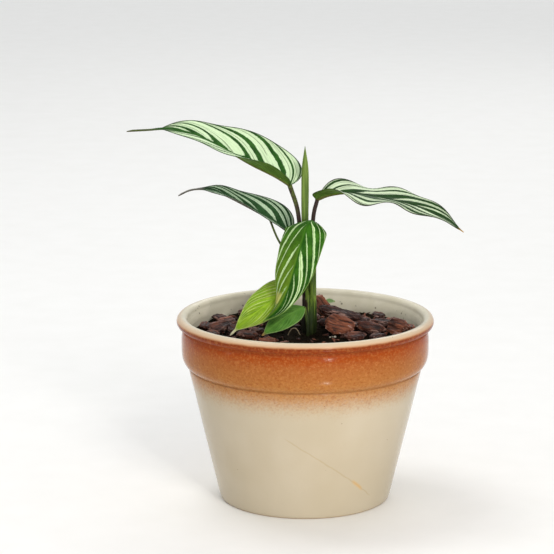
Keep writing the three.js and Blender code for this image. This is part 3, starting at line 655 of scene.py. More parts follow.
def bark_material():
    """Pine bark: layered reddish brown, with fibres along the chip, paler broken edges that carry a
    painted highlight, and painted shade in its sunken plates.
    """
    s = Shader("bark")
    grain = s.attribute("grain", "Vector")
    warmth = s.attribute("warmth")
    edge = s.attribute("edge")
    fibre = s.noise(s.scaled(grain, (0.12, 1, 0.8)), 1100, 5, 0.65)
    layer = s.noise(s.scaled(grain, (0.1, 0.25, 1.6)), 700, 3)
    patch = s.noise(grain, 150, 3)
    dark = s.mix(s.step(fibre, 0.35, 0.7), rgb(32, 15, 11), rgb(82, 41, 29))
    warm = s.mix(s.step(fibre, 0.3, 0.7), rgb(94, 43, 26), rgb(152, 88, 58))
    layered = s.times(s.step(layer, 0.5, 0.68), s.step(warmth, 0.2, 0.8, 0.6, 0.25))
    # Paler broken wood on the raised edges and the chip's sides, with a painted highlight laid on it.
    pale_edge_and_highlight = s.times(s.step(edge, 0.45, 1.0), s.step(fibre, 0.4, 0.65, 0, 0.8))
    colour = s.painted(
        dark,
        (s.step(s.plus(warmth, s.centred(patch, 1.3)), 0.15, 0.75), warm),
        (layered, rgb(52, 30, 30)),
        (pale_edge_and_highlight, rgb(190, 152, 138)),
        # Where edge is low, in the sunken plates and splits, this near-black brown is painted shade.
        (s.step(edge, -0.9, -0.2, 0.75, 0), rgb(20, 11, 9)),
    )
    relief = s.bump(layer, 0.4, s.bump(fibre, 0.5))
    return s.done(colour, s.step(fibre, 0.3, 0.8, 0.42, 0.8), relief, 0.3)


def plates(a, b, seed):
    """The stepped outer face of bark: thin plates with abrupt edges, from 0 to 1."""
    wander = 0.5 + 0.8 * fractal(Vector((a / 6.5, b / 2.4, seed)), 3)
    level = math.floor(wander * PLATES) / PLATES
    return level + 0.25 * (wander * PLATES % 1) ** 6 / PLATES


def chip_core(node):
    """The chip's CAD shape as an even mesh of small cells."""
    core = bpy.data.objects.new("chip_shape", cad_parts[node].data.copy())
    bpy.context.scene.collection.objects.link(core)
    even = core.modifiers.new("even", "REMESH")
    even.mode = "VOXEL"
    even.voxel_size = CHIP_CELL * MM
    corners = np.array([v.co[:] for v in core.data.vertices]) / MM
    shaped = with_modifiers(core)
    bpy.data.objects.remove(core)
    return corners, shaped


def make_chip(number, material):
    """A chip on its CAD shape: stepped plates on its faces, and torn, splintered ends."""
    node = f"bark_chip_{number:02d}"
    corners, shaped = chip_core(node)
    middle = corners.mean(axis=0)
    # The chip's own axes, from its longest to its thinnest, and its half length along each.
    _, _, directions = np.linalg.svd(corners - middle)
    reach = np.abs((corners - middle) @ directions.T).max(axis=0)
    points = np.array([v.co[:] for v in shaped.vertices]) / MM
    normals = np.array([v.normal[:] for v in shaped.vertices]) @ directions.T
    faces = [tuple(p.vertices) for p in shaped.polygons]
    local = (points - middle) @ directions.T
    moved, edge = [], []
    for (a, b, c), (na, nb, nc) in zip(local, normals):
        seed = number * 3.7 + (11 if c > 0 else 0)
        step = plates(a, b, seed) - 0.55
        tear = fractal(Vector((number, b / 1.3, c / 0.9)), 3)
        chew = fractal(Vector((a / 3.4, number, c / 0.9)), 3)
        split = fractal(Vector((a / 7, b / 0.8, c / 1.2 + number)), 3)
        end = smooth(abs(a) / reach[0], 0.55, 0.95)
        flank = smooth(abs(b) / reach[1], 0.5, 0.9)
        a_new = a * (1 - 0.05 * end) + math.copysign(1, a) * end * tear
        b_new = b + math.copysign(1, b) * flank * 0.55 * chew + nb * 0.25 * split
        c_new = c + nc * (0.9 * step + 0.28 * split) * min(1.0, reach[2] / 1.6)
        moved.append((middle + directions.T @ np.array((a_new, b_new, c_new))) * MM)
        # edge is high on the chip's sides and raised plates, for the pale edges and painted highlight,
        # and low in its sunken plates, for painted shade.
        edge.append(1.4 * (1 - abs(nc)) + 1.5 * split - 0.2 + 0.8 * step)
    common = COMMON_WARMTH * (0.2 + 1.6 * (number * 0.37 % 1))
    warmth = np.full(len(moved), CHIP_WARMTH.get(number, common))
    values = {"grain": local * MM, "warmth": warmth, "edge": edge}
    piece(f"bark_{number:02d}", moved, faces, [material], [node], values, sharp=38)


def make_flakes(material):
    """Small splinters of bark that lie between the chips, few by the crown and on the bare soil."""
    points, faces, grain, warmth, edge = [], [], [], [], []
    made = 0
    while made < FLAKES:
        r = SOIL_RADIUS * math.sqrt(draw.uniform(0.03, 0.93))
        x, y = polar(r, draw.uniform(0, 2 * math.pi))
        bare_patch = math.exp(-(((x - 4) / 17) ** 2) - ((y + 26) / 17) ** 2)
        if draw.uniform() < bare_patch + 0.7 * math.exp(-((r / 14) ** 2)):
            continue
        made += 1
        long, wide = 0.9 + 2.4 * draw.uniform() ** 2, draw.uniform(0.5, 1.2)
        thick = draw.uniform(0.25, 0.6)
        turn, tilt = draw.uniform(0, 2 * math.pi), draw.uniform(-0.5, 0.5)
        warm = draw.uniform(0.0, 0.75)
        start = len(points)
        base = soil_surface(x, y) + 0.35
        for level in (-1, 0, 1):
            for around in ring_angles(FLAKE_SIDES):
                reach = draw.uniform(0.7, 1.15) * (0.8 if level else 1.05)
                a = long * reach * math.cos(around)
                b = wide * reach * math.sin(around)
                c = thick * level * draw.uniform(0.7, 1.1) + a * math.tan(tilt)
                px, py = turned(a, b, turn)
                points.append(((x + px) * MM, (y + py) * MM, (base + c) * MM))
                grain.append(((a + x) * MM, b * MM, c * MM))
                # The flake's rim gets a high edge value, for a pale edge and painted highlight.
                edge.append(0.7 if level == 0 else 0.1)
                warmth.append(warm)
        faces += grid_faces(3, FLAKE_SIDES, wrap=True, start=start)
        faces.append(tuple(start + k for k in reversed(range(FLAKE_SIDES))))
        faces.append(tuple(start + 2 * FLAKE_SIDES + k for k in range(FLAKE_SIDES)))
    values = {"grain": grain, "warmth": warmth, "edge": edge}
    piece("bark_flakes", points, faces, [material], (), values, sharp=30)


# ---- Leaf blades ----

# Half a blade: its width, and runs of values from base to tip. share changes the width, lift is
# degrees up from level, curl is more bend towards the edge, and sweep is how far the edge trails
# back to the base, as a share of the width. phase shifts the waves of the edge.
Half = namedtuple(
    "Half", "width share lift curl sweep phase", defaults=[(1, 1), (0, 0), (0, 0), (0, 0), 0]
)

# The side veins: how many, how far they lean to the tip, how bowed they are, and their offset.
Veins = namedtuple("Veins", "number slant bow start")

# A blade follows its midrib (spine) from the petiole to the tip. face is the way its top looks. It
# is widest at peak and ends at tail, past which a drip tip of tail_width goes on. wave is the depth
# of its edge's waves. minus is the half on the side of face x spine, and plus is the other one.
Blade = namedtuple("Blade", "spine face peak tail tail_width wave waves plus minus veins")

UP = (0, 0, 1)
BLADES = {
    "upper_left": Blade(
        spine=[
            (-8, 2, 74.8), (-15.5, 0, 79.8), (-27, -4, 86.3), (-40, -7, 94.3),
            (-54, -10, 101.8), (-67.5, -12, 105.1), (-78, -13, 104.8), (-88, -14, 104.3),
        ],
        face=[UP, UP], peak=0.36, tail=0.77, tail_width=0.07, wave=0.8, waves=3.2,
        plus=Half(
            width=17, share=[1.3, 1.3, 1.07, 0.86, 0.84, 0.78, 1], lift=[40, 48, 46, 42, 38, 40, 60],
            curl=[15, 16, 12, 8, 4, 2, 0], sweep=[1.1, 0.6, 0.3, 0, 0, 0, 0], phase=0.1,
        ),
        minus=Half(
            width=13, share=[0.8, 0.8, 0.9, 1, 1.1, 1, 1], lift=[40, 28, 12, -4, -10, 5, 40],
            curl=[10, 4, 0, -8, -6, 0, 0], sweep=[0.3, 0.2, 0.1, 0, 0, 0, 0], phase=0.35,
        ),
        veins=Veins(8.2, 0.36, 1.7, 0.28),
    ),
    "right": Blade(
        spine=[
            (5.8, 0, 67.8), (12.2, -3, 70.8), (22, -6, 72.4), (34, -9, 71),
            (46, -12, 69.2), (57, -15, 66.6), (68.6, -18, 61.8), (78, -20, 55.4),
        ],
        face=[UP, UP], peak=0.4, tail=0.99, tail_width=0.03, wave=1.8, waves=3.3,
        plus=Half(
            width=13, share=[1, 0.8, 0.8, 0.85, 0.9, 1, 1], lift=[75, 34, 0, 6, 0, -8, -10],
            curl=[10, 0, -10, -20, -10, 0, 0], sweep=[1, 0.4, 0.1, 0, 0, 0, 0], phase=0.42,
        ),
        minus=Half(
            width=13, share=[0.85, 0.82, 0.8, 0.85, 1, 1, 1], lift=[44, 42, 28, 22, 28, 26, 20],
            curl=[10, 0, -10, -10, 0, 0, 0], sweep=[0.8, 0.4, 0.1, 0, 0, 0, 0], phase=0.54,
        ),
        veins=Veins(5.2, 0.54, 1.5, 0.1),
    ),
    "mid_left": Blade(
        spine=[
            (-8, 10, 49.3), (-18.4, 11, 56.3), (-33.1, 12, 64.2), (-44, 13, 69.2),
            (-52, 14, 70.6), (-58.4, 15, 69.8), (-64.5, 16, 66.8),
        ],
        face=[UP, UP], peak=0.34, tail=0.8, tail_width=0.06, wave=0.8, waves=2.5,
        plus=Half(
            width=13.5, share=[1.15, 1, 0.52, 0.38, 0.4, 1], lift=[44, 42, 34, 28, 30, 40],
            curl=[10, 5, 0, 0, 0, 0], sweep=[0.7, 0.3, 0, 0, 0, 0],
        ),
        minus=Half(
            width=10, share=[1, 1, 1, 0.9, 0.8, 1], lift=[12, 12, 12, 9, 5, 10],
            curl=[-5, -5, -5, -3, 0, 0], sweep=[0.3, 0, 0, 0, 0, 0], phase=0.4,
        ),
        veins=Veins(9.0, 0.42, 1.6, 0.35),
    ),
    "front": Blade(
        spine=[
            (3.8, -2.6, 55.6), (2.8, -5, 58.4), (0.8, -9.5, 56.2), (-2.6, -14, 46.6),
            (-5.8, -17, 35.6), (-8.8, -18.8, 26.1), (-13.5, -20.3, 17), (-21, -21.5, 10.2),
        ],
        face=[
            UP, (0, -0.2, 1), (0, -0.6, 1), (0, -1, 0.4), (-0.1, -1, 0.1), (-0.1, -1, 0.1),
            (-0.2, -1, 0.1),
        ],
        peak=0.3, tail=1, tail_width=0.02, wave=0.4, waves=2,
        plus=Half(
            width=12.3, share=[1, 1.18, 1.12, 1, 1, 1, 1],
            lift=[-10, -16, -18, -20, -10, -30, -40], curl=[-10, -20, -20, -14, -20, -40, -60],
        ),
        minus=Half(
            width=12.8, share=[0.7, 0.78, 0.87, 0.94, 0.98, 0.95, 0.9],
            lift=[-10, -14, -10, -5, 0, 5, 5], curl=[-10, -20, -30, -20, -5, 0, 0], phase=0.4,
        ),
        veins=Veins(7.4, 0.48, 1.4, 0.45),
    ),
    "low_yellow": Blade(
        spine=[
            (-4, -3.2, 30.4), (-9, -6.4, 24), (-16, -9.5, 18.4), (-24, -13, 13.1),
            (-31.5, -15.5, 7.7), (-37.5, -17, 2.1),
        ],
        face=[(-0.5, -0.8, 0.6), (-0.4, -0.8, 0.6)],
        peak=0.45, tail=0.93, tail_width=0.06, wave=0.4, waves=2,
        plus=Half(width=11, share=[1.2, 1.2, 1.02, 0.8, 0.6], curl=[-10, -10, -5, 0]),
        minus=Half(width=8, curl=[-20, -20, -10, 0], phase=0.4),
        veins=Veins(11, 0.55, 1.4, 0.2),
    ),
    "low_green": Blade(
        spine=[
            (-0.3, -4.7, 13.9), (-5, -8.2, 12.3), (-11, -11.5, 9.3), (-16.5, -14, 5.6),
            (-21.6, -16, 1.7),
        ],
        face=[(-0.2, -0.8, 0.7), (-0.2, -0.8, 0.7)],
        peak=0.42, tail=0.97, tail_width=0.04, wave=0.2, waves=2,
        plus=Half(width=6.5, curl=[-10, -10, 0]),
        minus=Half(width=6, curl=[-10, -10, 0], phase=0.4),
        veins=Veins(9, 0.5, 1.4, 0.2),
    ),
    "seedling": Blade(
        spine=[(9.9, 16.6, 11.6), (12.3, 16.6, 12.2), (15.3, 16.6, 12)],
        face=[(0, -0.6, 1), (0, -0.6, 1)],
        peak=0.5, tail=1, tail_width=0, wave=0, waves=1,
        plus=Half(width=1.7, lift=[10, 10]),
        minus=Half(width=1.7, lift=[10, 10]),
        veins=Veins(6, 0.5, 1.4, 0),
    ),
}
LEAST_HALF_WIDTH = 0.7
LEAF_THICKNESS = 0.4


def grown(points):
    """The plant's points in the part's own frame."""
    return np.asarray(points, float) + np.array([0, 0, CROWN_FOOT])


def outline(blade, u, tail_width):
    """The share of the full half width at u along the rib, ending in a thin drip tip."""
    rise = np.sin(np.pi / 2 * np.clip(u / blade.peak, 0, 1)) ** 0.7
    fall = np.clip((u - blade.peak) / (blade.tail - blade.peak), 0, 1)
    tip = tail_width * np.minimum(1, (1 - u) / (1.000001 - blade.tail))
    return np.where(u < blade.peak, rise, np.maximum(np.cos(np.pi / 2 * fall), tip))


def blade_half(blade, half, u, a, sign):
    """Points of one half of the blade's middle layer, and the half's width at each."""
    h = 0.004
    rib = grown(run(blade.spine, u))
    ahead = run(blade.spine, np.minimum(1, u + h))
    behind = run(blade.spine, np.maximum(0, u - h))
    along = unit(ahead - behind)
    across = unit(np.cross(along, run(blade.face, u)))
    up = np.cross(across, along)
    shape = outline(blade, u, blade.tail_width) * half.width * run(half.share, u)
    least = LEAST_HALF_WIDTH * (0.25 + 0.75 * np.minimum(1, (1 - u) / 0.04))
    width = np.maximum(shape, least)
    lift = np.radians(run(half.lift, u))
    curl = np.radians(run(half.curl, u))
    # A bend of no curl has no radius, so the least curl is a very small one.
    curl = np.where(np.abs(curl) < 1e-3, 1e-3, curl)
    out = (np.sin(lift + curl * a) - np.sin(lift)) / curl
    high = (np.cos(lift) - np.cos(lift + curl * a)) / curl
    ripple = np.sin(2 * np.pi * (blade.waves * u + half.phase)) * outline(blade, u, 0)
    rise = width * high + blade.wave * a**2 * ripple
    trail = run(half.sweep, u) * width * a
    points = rib + across * (sign * width * out)[..., None] + up * rise[..., None]
    return points - along * trail[..., None], width


def vein_phase(veins, u, a, sign):
    """Counts the side veins: each whole number is one, bowed from the rib towards the tip."""
    lean = 1 - (1 - a) ** (1 / veins.bow)
    at = u - veins.slant * lean
    uneven = 0.10 * np.sin(at * 23 + sign) + 0.08 * np.sin(at * 41 + 2 * sign)
    other_side = 0.22 * sign * smooth(a, 0.0, 0.08)
    return veins.number * at + uneven + other_side + veins.start


def make_blade(key, node, slot, materials, steps=150, halves=30, rib_size=0.8):
    """A blade with its midrib, pleated along its side veins, and a top and an underside."""
    blade = BLADES[key]
    across_steps = np.linspace(-1, 1, 2 * halves + 1)
    u, t = np.meshgrid(np.linspace(0, 1, steps + 1), across_steps, indexing="ij")
    a = np.abs(t) ** 1.15
    sign = np.where(t < 0, -1.0, 1.0)
    minus, width_minus = blade_half(blade, blade.minus, u, a, -1)
    plus, width_plus = blade_half(blade, blade.plus, u, a, 1)
    middle = np.where((t < 0)[..., None], minus, plus)
    width = np.where(t < 0, width_minus, width_plus)
    normal = unit(np.cross(np.gradient(middle, axis=1), np.gradient(middle, axis=0)))
    phase = vein_phase(blade.veins, u, a, sign)
    from_rib = a * width
    from_edge = (1 - a) * width
    body = smooth(from_rib, 0.3, 2.5) * smooth(from_edge, 0, 1.5)
    pleat = 0.10 * np.cos(2 * np.pi * phase) * body
    buckle = 0.05 * np.cos(2 * np.pi * phase * 3 + 1) * body
    size = rib_size * (0.25 + 0.75 * (1 - u))
    ridge = size * np.sqrt(np.clip(1 - (from_rib / size) ** 2, 0, 1))
    groove = 0.18 * size * np.exp(-((from_rib / (0.6 * size)) ** 2))
    thin = LEAF_THICKNESS / 2 * (0.45 + 0.55 * smooth(from_edge, 0, 0.8))
    top = middle + normal * (thin + pleat + buckle - groove)[..., None]
    under = middle - normal * (thin - pleat - buckle + 0.8 * ridge)[..., None]
    rows, columns = u.shape
    points = np.concatenate([top.reshape(-1, 3), under.reshape(-1, 3)]) * MM
    count = rows * columns
    faces = grid_faces(rows, columns)
    tops = len(faces)
    faces += grid_faces(rows, columns, start=count, flip=True)
    # The wall that joins the two sheets runs round all four sides of the grid.
    loop = [(0, j) for j in range(columns - 1)]
    loop += [(i, columns - 1) for i in range(rows - 1)]
    loop += [(rows - 1, j) for j in range(columns - 1, 0, -1)]
    loop += [(i, 0) for i in range(rows - 1, 0, -1)]
    for (i, j), (m, n) in zip(loop, loop[1:] + loop[:1]):
        p, q = i * columns + j, m * columns + n
        faces.append((q, p, p + count, q + count))
    material_of = [0] * tops + [1] * tops + [0] * len(loop)
    values = {
        "vein": phase, "along": u, "from_rib": from_rib, "from_edge": from_edge,
        "half": sign * smooth(from_rib, 0, 0.6),
    }
    values = {k: np.tile(v.ravel(), 2) for k, v in values.items()}
    piece(f"leaf_{key}", points, faces, materials, [node], values, material_of)


# The look of each blade's top. Its colours are dark, mid, pale, the line down a pale band, margin
# and tip. share is how much of it the pale bands take, soft is how blurred their edges are, and
# tip_from is where the tip's colour starts. yellowing is how far one half has faded to yellow.
TOPS = {
    "upper_left": dict(
        colours=[
            (26, 68, 16), (52, 100, 34), (219, 241, 196), (118, 134, 98), (56, 82, 40),
            (92, 104, 62),
        ],
        share=0.68, tip_from=0.8,
    ),
    "right": dict(
        colours=[
            (20, 52, 12), (38, 74, 24), (214, 231, 192), (110, 116, 92), (66, 62, 44),
            (196, 146, 62),
        ],
        share=0.6, tip_from=0.985,
    ),
    "mid_left": dict(
        colours=[
            (24, 60, 24), (50, 88, 48), (196, 219, 184), (96, 112, 92), (74, 74, 66),
            (126, 122, 112),
        ],
        share=0.5, tip_from=0.66,
    ),
    "front": dict(
        colours=[
            (28, 77, 10), (60, 114, 24), (222, 248, 186), (110, 150, 70), (150, 190, 90),
            (120, 160, 60),
        ],
        share=0.27, tip_from=0.99, soft=0.05, yellowing=0.4,
    ),
    "low_yellow": dict(
        colours=[
            (130, 176, 26), (168, 204, 54), (222, 240, 140), (132, 166, 30), (204, 216, 126),
            (232, 224, 184),
        ],
        share=0.3, tip_from=0.9, soft=0.1, gloss=0.38,
    ),
    "low_green": dict(
        colours=[
            (86, 142, 50), (118, 174, 72), (128, 182, 92), (98, 158, 66), (170, 204, 124),
            (196, 156, 96),
        ],
        share=0.35, tip_from=0.93, soft=0.3, gloss=0.3,
    ),
    "seedling": dict(
        colours=[
            (104, 136, 78), (126, 156, 96), (160, 184, 130), (126, 156, 96), (172, 192, 142),
            (176, 176, 120),
        ],
        share=0.35, tip_from=0.93, soft=0.3, gloss=0.4,
    ),
}
FADED = rgb(146, 172, 44)
YELLOW_SPOT = rgb(204, 202, 112)
SPOT_ALONG = 0.80


def yellowed(s, colour, band, wobble, yellowing):
    """The colour with the plus half's green faded towards the tip, and one yellow spot by the rib."""
    along = s.attribute("along")
    rib = s.attribute("from_rib")
    side = s.step(s.attribute("half"), -0.6, 0.6)
    faded = s.times(side, s.step(along, 0.2, 0.8), s.step(band, 0.2, 0.8, 1, 0), yellowing)
    colour = s.mix(faded, colour, FADED)
    off = s.plus(s.math("ABSOLUTE", s.plus(along, -SPOT_ALONG)), s.times(wobble, 0.03))
    spot = s.times(s.step(off, 0.02, 0.06, 0.85, 0), side, s.between(rib, (1.2, 2.2), (4.5, 6.0)))
    return s.mix(spot, colour, YELLOW_SPOT)


def striped_material(name, colours, share, tip_from, gloss=0.34, soft=0.06, yellowing=0.0):
    """Dark green between pale bands that follow the side veins, each with a thin line down it."""
    dark, mid, pale, line, margin, tip = (rgb(*colour) for colour in colours)
    s = Shader(name)
    vein = s.attribute("vein")
    along = s.attribute("along")
    rib = s.attribute("from_rib")
    edge = s.attribute("from_edge")

    # Which vein this is, and how far from the middle of its band: 0 in the middle, 1 between two.
    wobble = s.plus(s.noise(s.place, 260, 3), -0.5)
    shifted = s.plus(vein, s.times(wobble, 0.10))
    which = s.math("FLOOR", shifted)
    middle_off = s.times(s.math("ABSOLUTE", s.plus(s.math("FRACT", shifted), -0.5)), 2)
    feather = s.centred(s.noise(s.joined(s.times(vein, 4.0), s.times(along, 60)), 1, 2), 0.24)
    off = s.plus(middle_off, feather)

    # The bands differ in width, and narrow and end at the rib, the edge and the tip.
    uneven = s.plus(1.0, s.times(s.math("SINE", s.times(which, 2.4)), 0.14))
    wide = s.times(share, uneven, s.step(rib, 0.6, 4.0, 0.35, 1.0))
    band = s.step(s.plus(wide, s.times(off, -1)), -soft, soft)
    band = s.times(band, s.step(rib, 0.5, 1.1), s.step(edge, 0.25, 0.6))
    band = s.times(band, s.step(along, tip_from - 0.1, tip_from, 1, 0))

    fine = s.noise(s.joined(s.times(vein, 14), s.times(along, 6)), 1, 3)
    broken = s.step(s.noise(s.joined(which, s.times(along, 7)), 1, 2), 0.35, 0.5)
    thin_line = s.times(s.step(middle_off, 0.04, 0.11, 0.85, 0), broken)
    cream = s.painted(pale, (s.step(fine, 0.45, 0.75, 0, 0.35), mid), (thin_line, line))
    colour = s.painted(
        dark,
        (s.step(s.noise(s.place, 220, 3), 0.3, 0.7), mid),
        (s.step(fine, 0.5, 0.8, 0, 0.35), mid),
        (band, cream),
        (s.step(rib, 0.25, 0.7, 0.65, 0), mid),
        (s.step(edge, 0.28, 0.5, 0.85, 0), margin),
    )
    if yellowing > 0:
        colour = yellowed(s, colour, band, wobble, yellowing)
    colour = s.mix(s.step(along, tip_from - 0.04, min(1.0, tip_from + 0.05)), colour, tip)
    relief = s.bump(s.math("SINE", s.times(vein, 2 * math.pi * 9)), 0.05)
    relief = s.bump(s.noise(s.place, 1500, 2), 0.06, relief)
    return s.done(colour, s.plus(gloss, s.times(fine, 0.16)), relief, 0.1)


def underside_material(name, green, rib_colour, tip):
    """The plain underside of a blade, with its raised rib and faint side veins."""
    s = Shader(name)
    vein = s.attribute("vein")
    fine = s.noise(s.joined(s.times(vein, 10), s.times(s.attribute("along"), 6)), 1, 3)
    blotch = s.noise(s.place, 180, 3)
    light = (*[min(1.0, c * 1.5) for c in green[:3]], 1.0)
    deep = (*[c * 0.7 for c in green[:3]], 1.0)
    colour = s.painted(
        green,
        (s.step(blotch, 0.3, 0.7), deep),
        (s.step(fine, 0.45, 0.8, 0, 0.4), light),
        (s.step(s.attribute("from_rib"), 0.4, 1.1, 0.85, 0), rib_colour),
        (s.step(s.attribute("along"), 0.93, 0.99), tip),
    )
    relief = s.bump(s.math("SINE", s.times(vein, 2 * math.pi * 3)), 0.12)
    return s.done(colour, s.plus(0.42, s.times(fine, 0.15)), relief, 0.11)


def make_leaves():
    under = underside_material("leaf_under", rgb(86, 118, 44), rgb(96, 92, 44), rgb(120, 110, 70))
    under_pale = underside_material(
        "leaf_under_pale", rgb(138, 168, 56), rgb(170, 180, 90), rgb(206, 196, 150)
    )
    under_grey = underside_material(
        "leaf_under_grey", rgb(96, 104, 78), rgb(110, 98, 84), rgb(120, 108, 96)
    )
    # Each leaf's underside and slot, and for a small one its mesh steps, half steps and rib size.
    leaves = {
        "upper_left": (under, "leaf_striped"),
        "right": (under, "leaf_striped"),
        "mid_left": (under_grey, "leaf_striped"),
        "front": (under, "leaf_striped"),
        "low_yellow": (under_pale, "leaf_yellow"),
        "low_green": (under, "leaf_plain_green", 100, 20, 0.5),
        "seedling": (under, "leaf_plain_green", 40, 10, 0.25),
    }
    for key, (low, slot, *mesh) in leaves.items():
        node = "seedling_leaf" if key == "seedling" else f"blade_{key}"
        make_blade(key, node, slot, [striped_material(f"leaf_{key}", **TOPS[key]), low], *mesh)


# ---- Stems ----

RING_RADIUS = 2.722
STEM_FOOT = 14.0
STEM_RISE = 22.6
CROWN_ROWS = 70
CROWN_SIDES = 96


def ring_point(angle, z):
    """A place in the ring of stems that rise out of the crown."""
    x, y = polar(RING_RADIUS, math.radians(angle))
    return (CROWN_X + x, y, z)


def from_crown(angle, *rest):
    """A route that rises out of the crown and then goes through the other points."""
    return [ring_point(angle, STEM_FOOT), ring_point(angle, STEM_RISE), *rest]


# Each petiole: its route from inside the crown, its radii, and how brown it is at each end.
Petiole = namedtuple("Petiole", "slot route radii brown")
PETIOLES = {
    "upper_left": Petiole(
        slot="stem_brown",
        route=from_crown(185, ring_point(185, 30), (-2.4, 1, 46), (-4, 2, 62), (-8, 2, 74.8)),
        radii=[1.0, 1.05, 1.1, 1.15, 1.15, 1.25],
        brown=(1.1, 0.5),
    ),
    "mid_left": Petiole(
        slot="stem_green",
        route=from_crown(125, ring_point(128, 29), (-8, 4.5, 38), (-13.8, 7.5, 46), (-18.2, 11, 56)),
        radii=[0.6, 0.6, 0.6, 0.58, 0.56, 0.55],
        brown=(0.2, 0.45),
    ),
    "right": Petiole(
        slot="stem_brown",
        route=from_crown(45, ring_point(42, 30), (3.4, 0.8, 48), (4.0, 0.2, 60), (5.8, 0, 67.8)),
        radii=[0.9, 0.95, 1.0, 1.05, 1.1, 1.05],
        brown=(0.9, 1.2),
    ),
    "front": Petiole(
        slot="stem_green",
        route=from_crown(295, ring_point(297, 30), (4.4, -3.4, 42), (3.8, -2.7, 55.6)),
        radii=[1.0, 1.0, 0.97, 0.94, 0.9],
        brown=(0.1, 0.15),
    ),
    "low_yellow": Petiole(
        slot="stem_green",
        route=from_crown(240, ring_point(240, 25), (-4, -3.2, 30.4)),
        radii=[0.9, 0.9, 0.88, 0.8],
        brown=(0.0, 0.0),
    ),
    "low_green": Petiole(
        slot="stem_green",
        route=[(1.2, -5.4, -1.5), (1.2, -5.4, 4), (-0.3, -4.7, 13.9)],
        radii=[1.0, 0.85, 0.7],
        brown=(0.2, 0.1),
    ),
}


def ribbed(u, angle):
    """A petiole's section: nearly round, with a shallow channel along one side."""
    return 1 + 0.03 * math.cos(5 * angle) - 0.12 * math.exp(-((angle - math.pi) / 0.5) ** 2)


def lapped(u, angle):
    """A rolled section whose edge laps over itself, in a seam that turns on the way up."""
    seam = (angle / (2 * math.pi) + 0.12 + 0.18 * u) % 1
    return 1.06 - 0.16 * seam


def knotty(u, angle):
    return 1 + 0.12 * math.sin(37 * u + angle)


def make_stem(
    name, node, material, route, radii, mesh, section=None, brown=np.zeros_like, sharp=None
):
    """A closed stem through the route. mesh is its number of steps and of sides.

    section(u, angle) is its radius as a share of the round one's, and brown(u) how brown it is.
    """
    steps, sides = mesh
    u = np.linspace(0, 1, steps + 1)
    centre = grown(run(route, u))
    along = unit(np.gradient(centre, axis=0))
    radius = run(radii, u)
    spoke = np.array([1.0, 0, 0])
    points, share, turn = [], [], []
    for i in range(steps + 1):
        spoke = unit(spoke - along[i] * spoke.dot(along[i]))
        other = np.cross(along[i], spoke)
        for angle in ring_angles(sides):
            reach = radius[i] * (section(u[i], angle) if section else 1)
            a, b = polar(reach, angle)
            points.append((centre[i] + spoke * a + other * b) * MM)
            share.append(u[i])
            turn.append(angle / (2 * math.pi))
    points += [centre[0] * MM, centre[-1] * MM]
    share = np.array(share + [0, 1])
    values = {"along": share, "turn": turn + [0, 0], "brown": brown(share)}
    faces = capped_faces(steps + 1, sides)
    piece(name, points, faces, [material], [node], values, sharp=sharp)


def stem_material(name, green, pale, brown, base):
    """A ribbed stem: green with paler lines along it, browner where its brown attribute says (painted
    shade on the crown), and darkened towards the crown's foot in painted shade.
    """
    s = Shader(name)
    ring = s.times(s.attribute("turn"), 2 * math.pi)
    down = s.times(s.attribute("along"), 0.6)
    lines = s.noise(s.joined(s.math("SINE", ring), s.math("COSINE", ring), down), 4.5, 3)
    mottle = s.noise(s.place, 500, 3)
    # The brown attribute is real browning on the petioles and the sheath's point, and painted shade on
    # the crown's left side.
    brownness = s.plus(s.attribute("brown"), s.centred(mottle, 0.5))
    height = s.times(s.axes(s.place)[2], 1 / MM)
    colour = s.painted(
        green,
        (s.step(lines, 0.42, 0.62), pale),
        (s.step(brownness, 0.2, 0.7), brown),
        # Painted shade: the base colour darkens every piece towards the crown's foot, down among the
        # leaves.
        (s.step(height, CROWN_FOOT + 1, CROWN_FOOT + 20, 0.92, 0), base),
    )
    relief = s.bump(mottle, 0.06, s.bump(lines, 0.25))
    return s.done(colour, s.plus(0.38, s.times(mottle, 0.2)), relief, 0.25)


def make_stems(material):
    for key, (slot, route, radii, (low, high)) in PETIOLES.items():
        make_stem(
            f"stem_{key}", f"petiole_{key}", material, route, radii, (60, 20), ribbed,
            lambda share: low + (high - low) * share,
        )
    route = [(11.4, 18.2, -1.2), (10.2, 17.2, 6), (9.9, 16.6, 11.6)]
    radii = [0.45, 0.42, 0.36]
    make_stem(
        "stem_seedling", "seedling_stem", material, route, radii, (24, 12)
    )


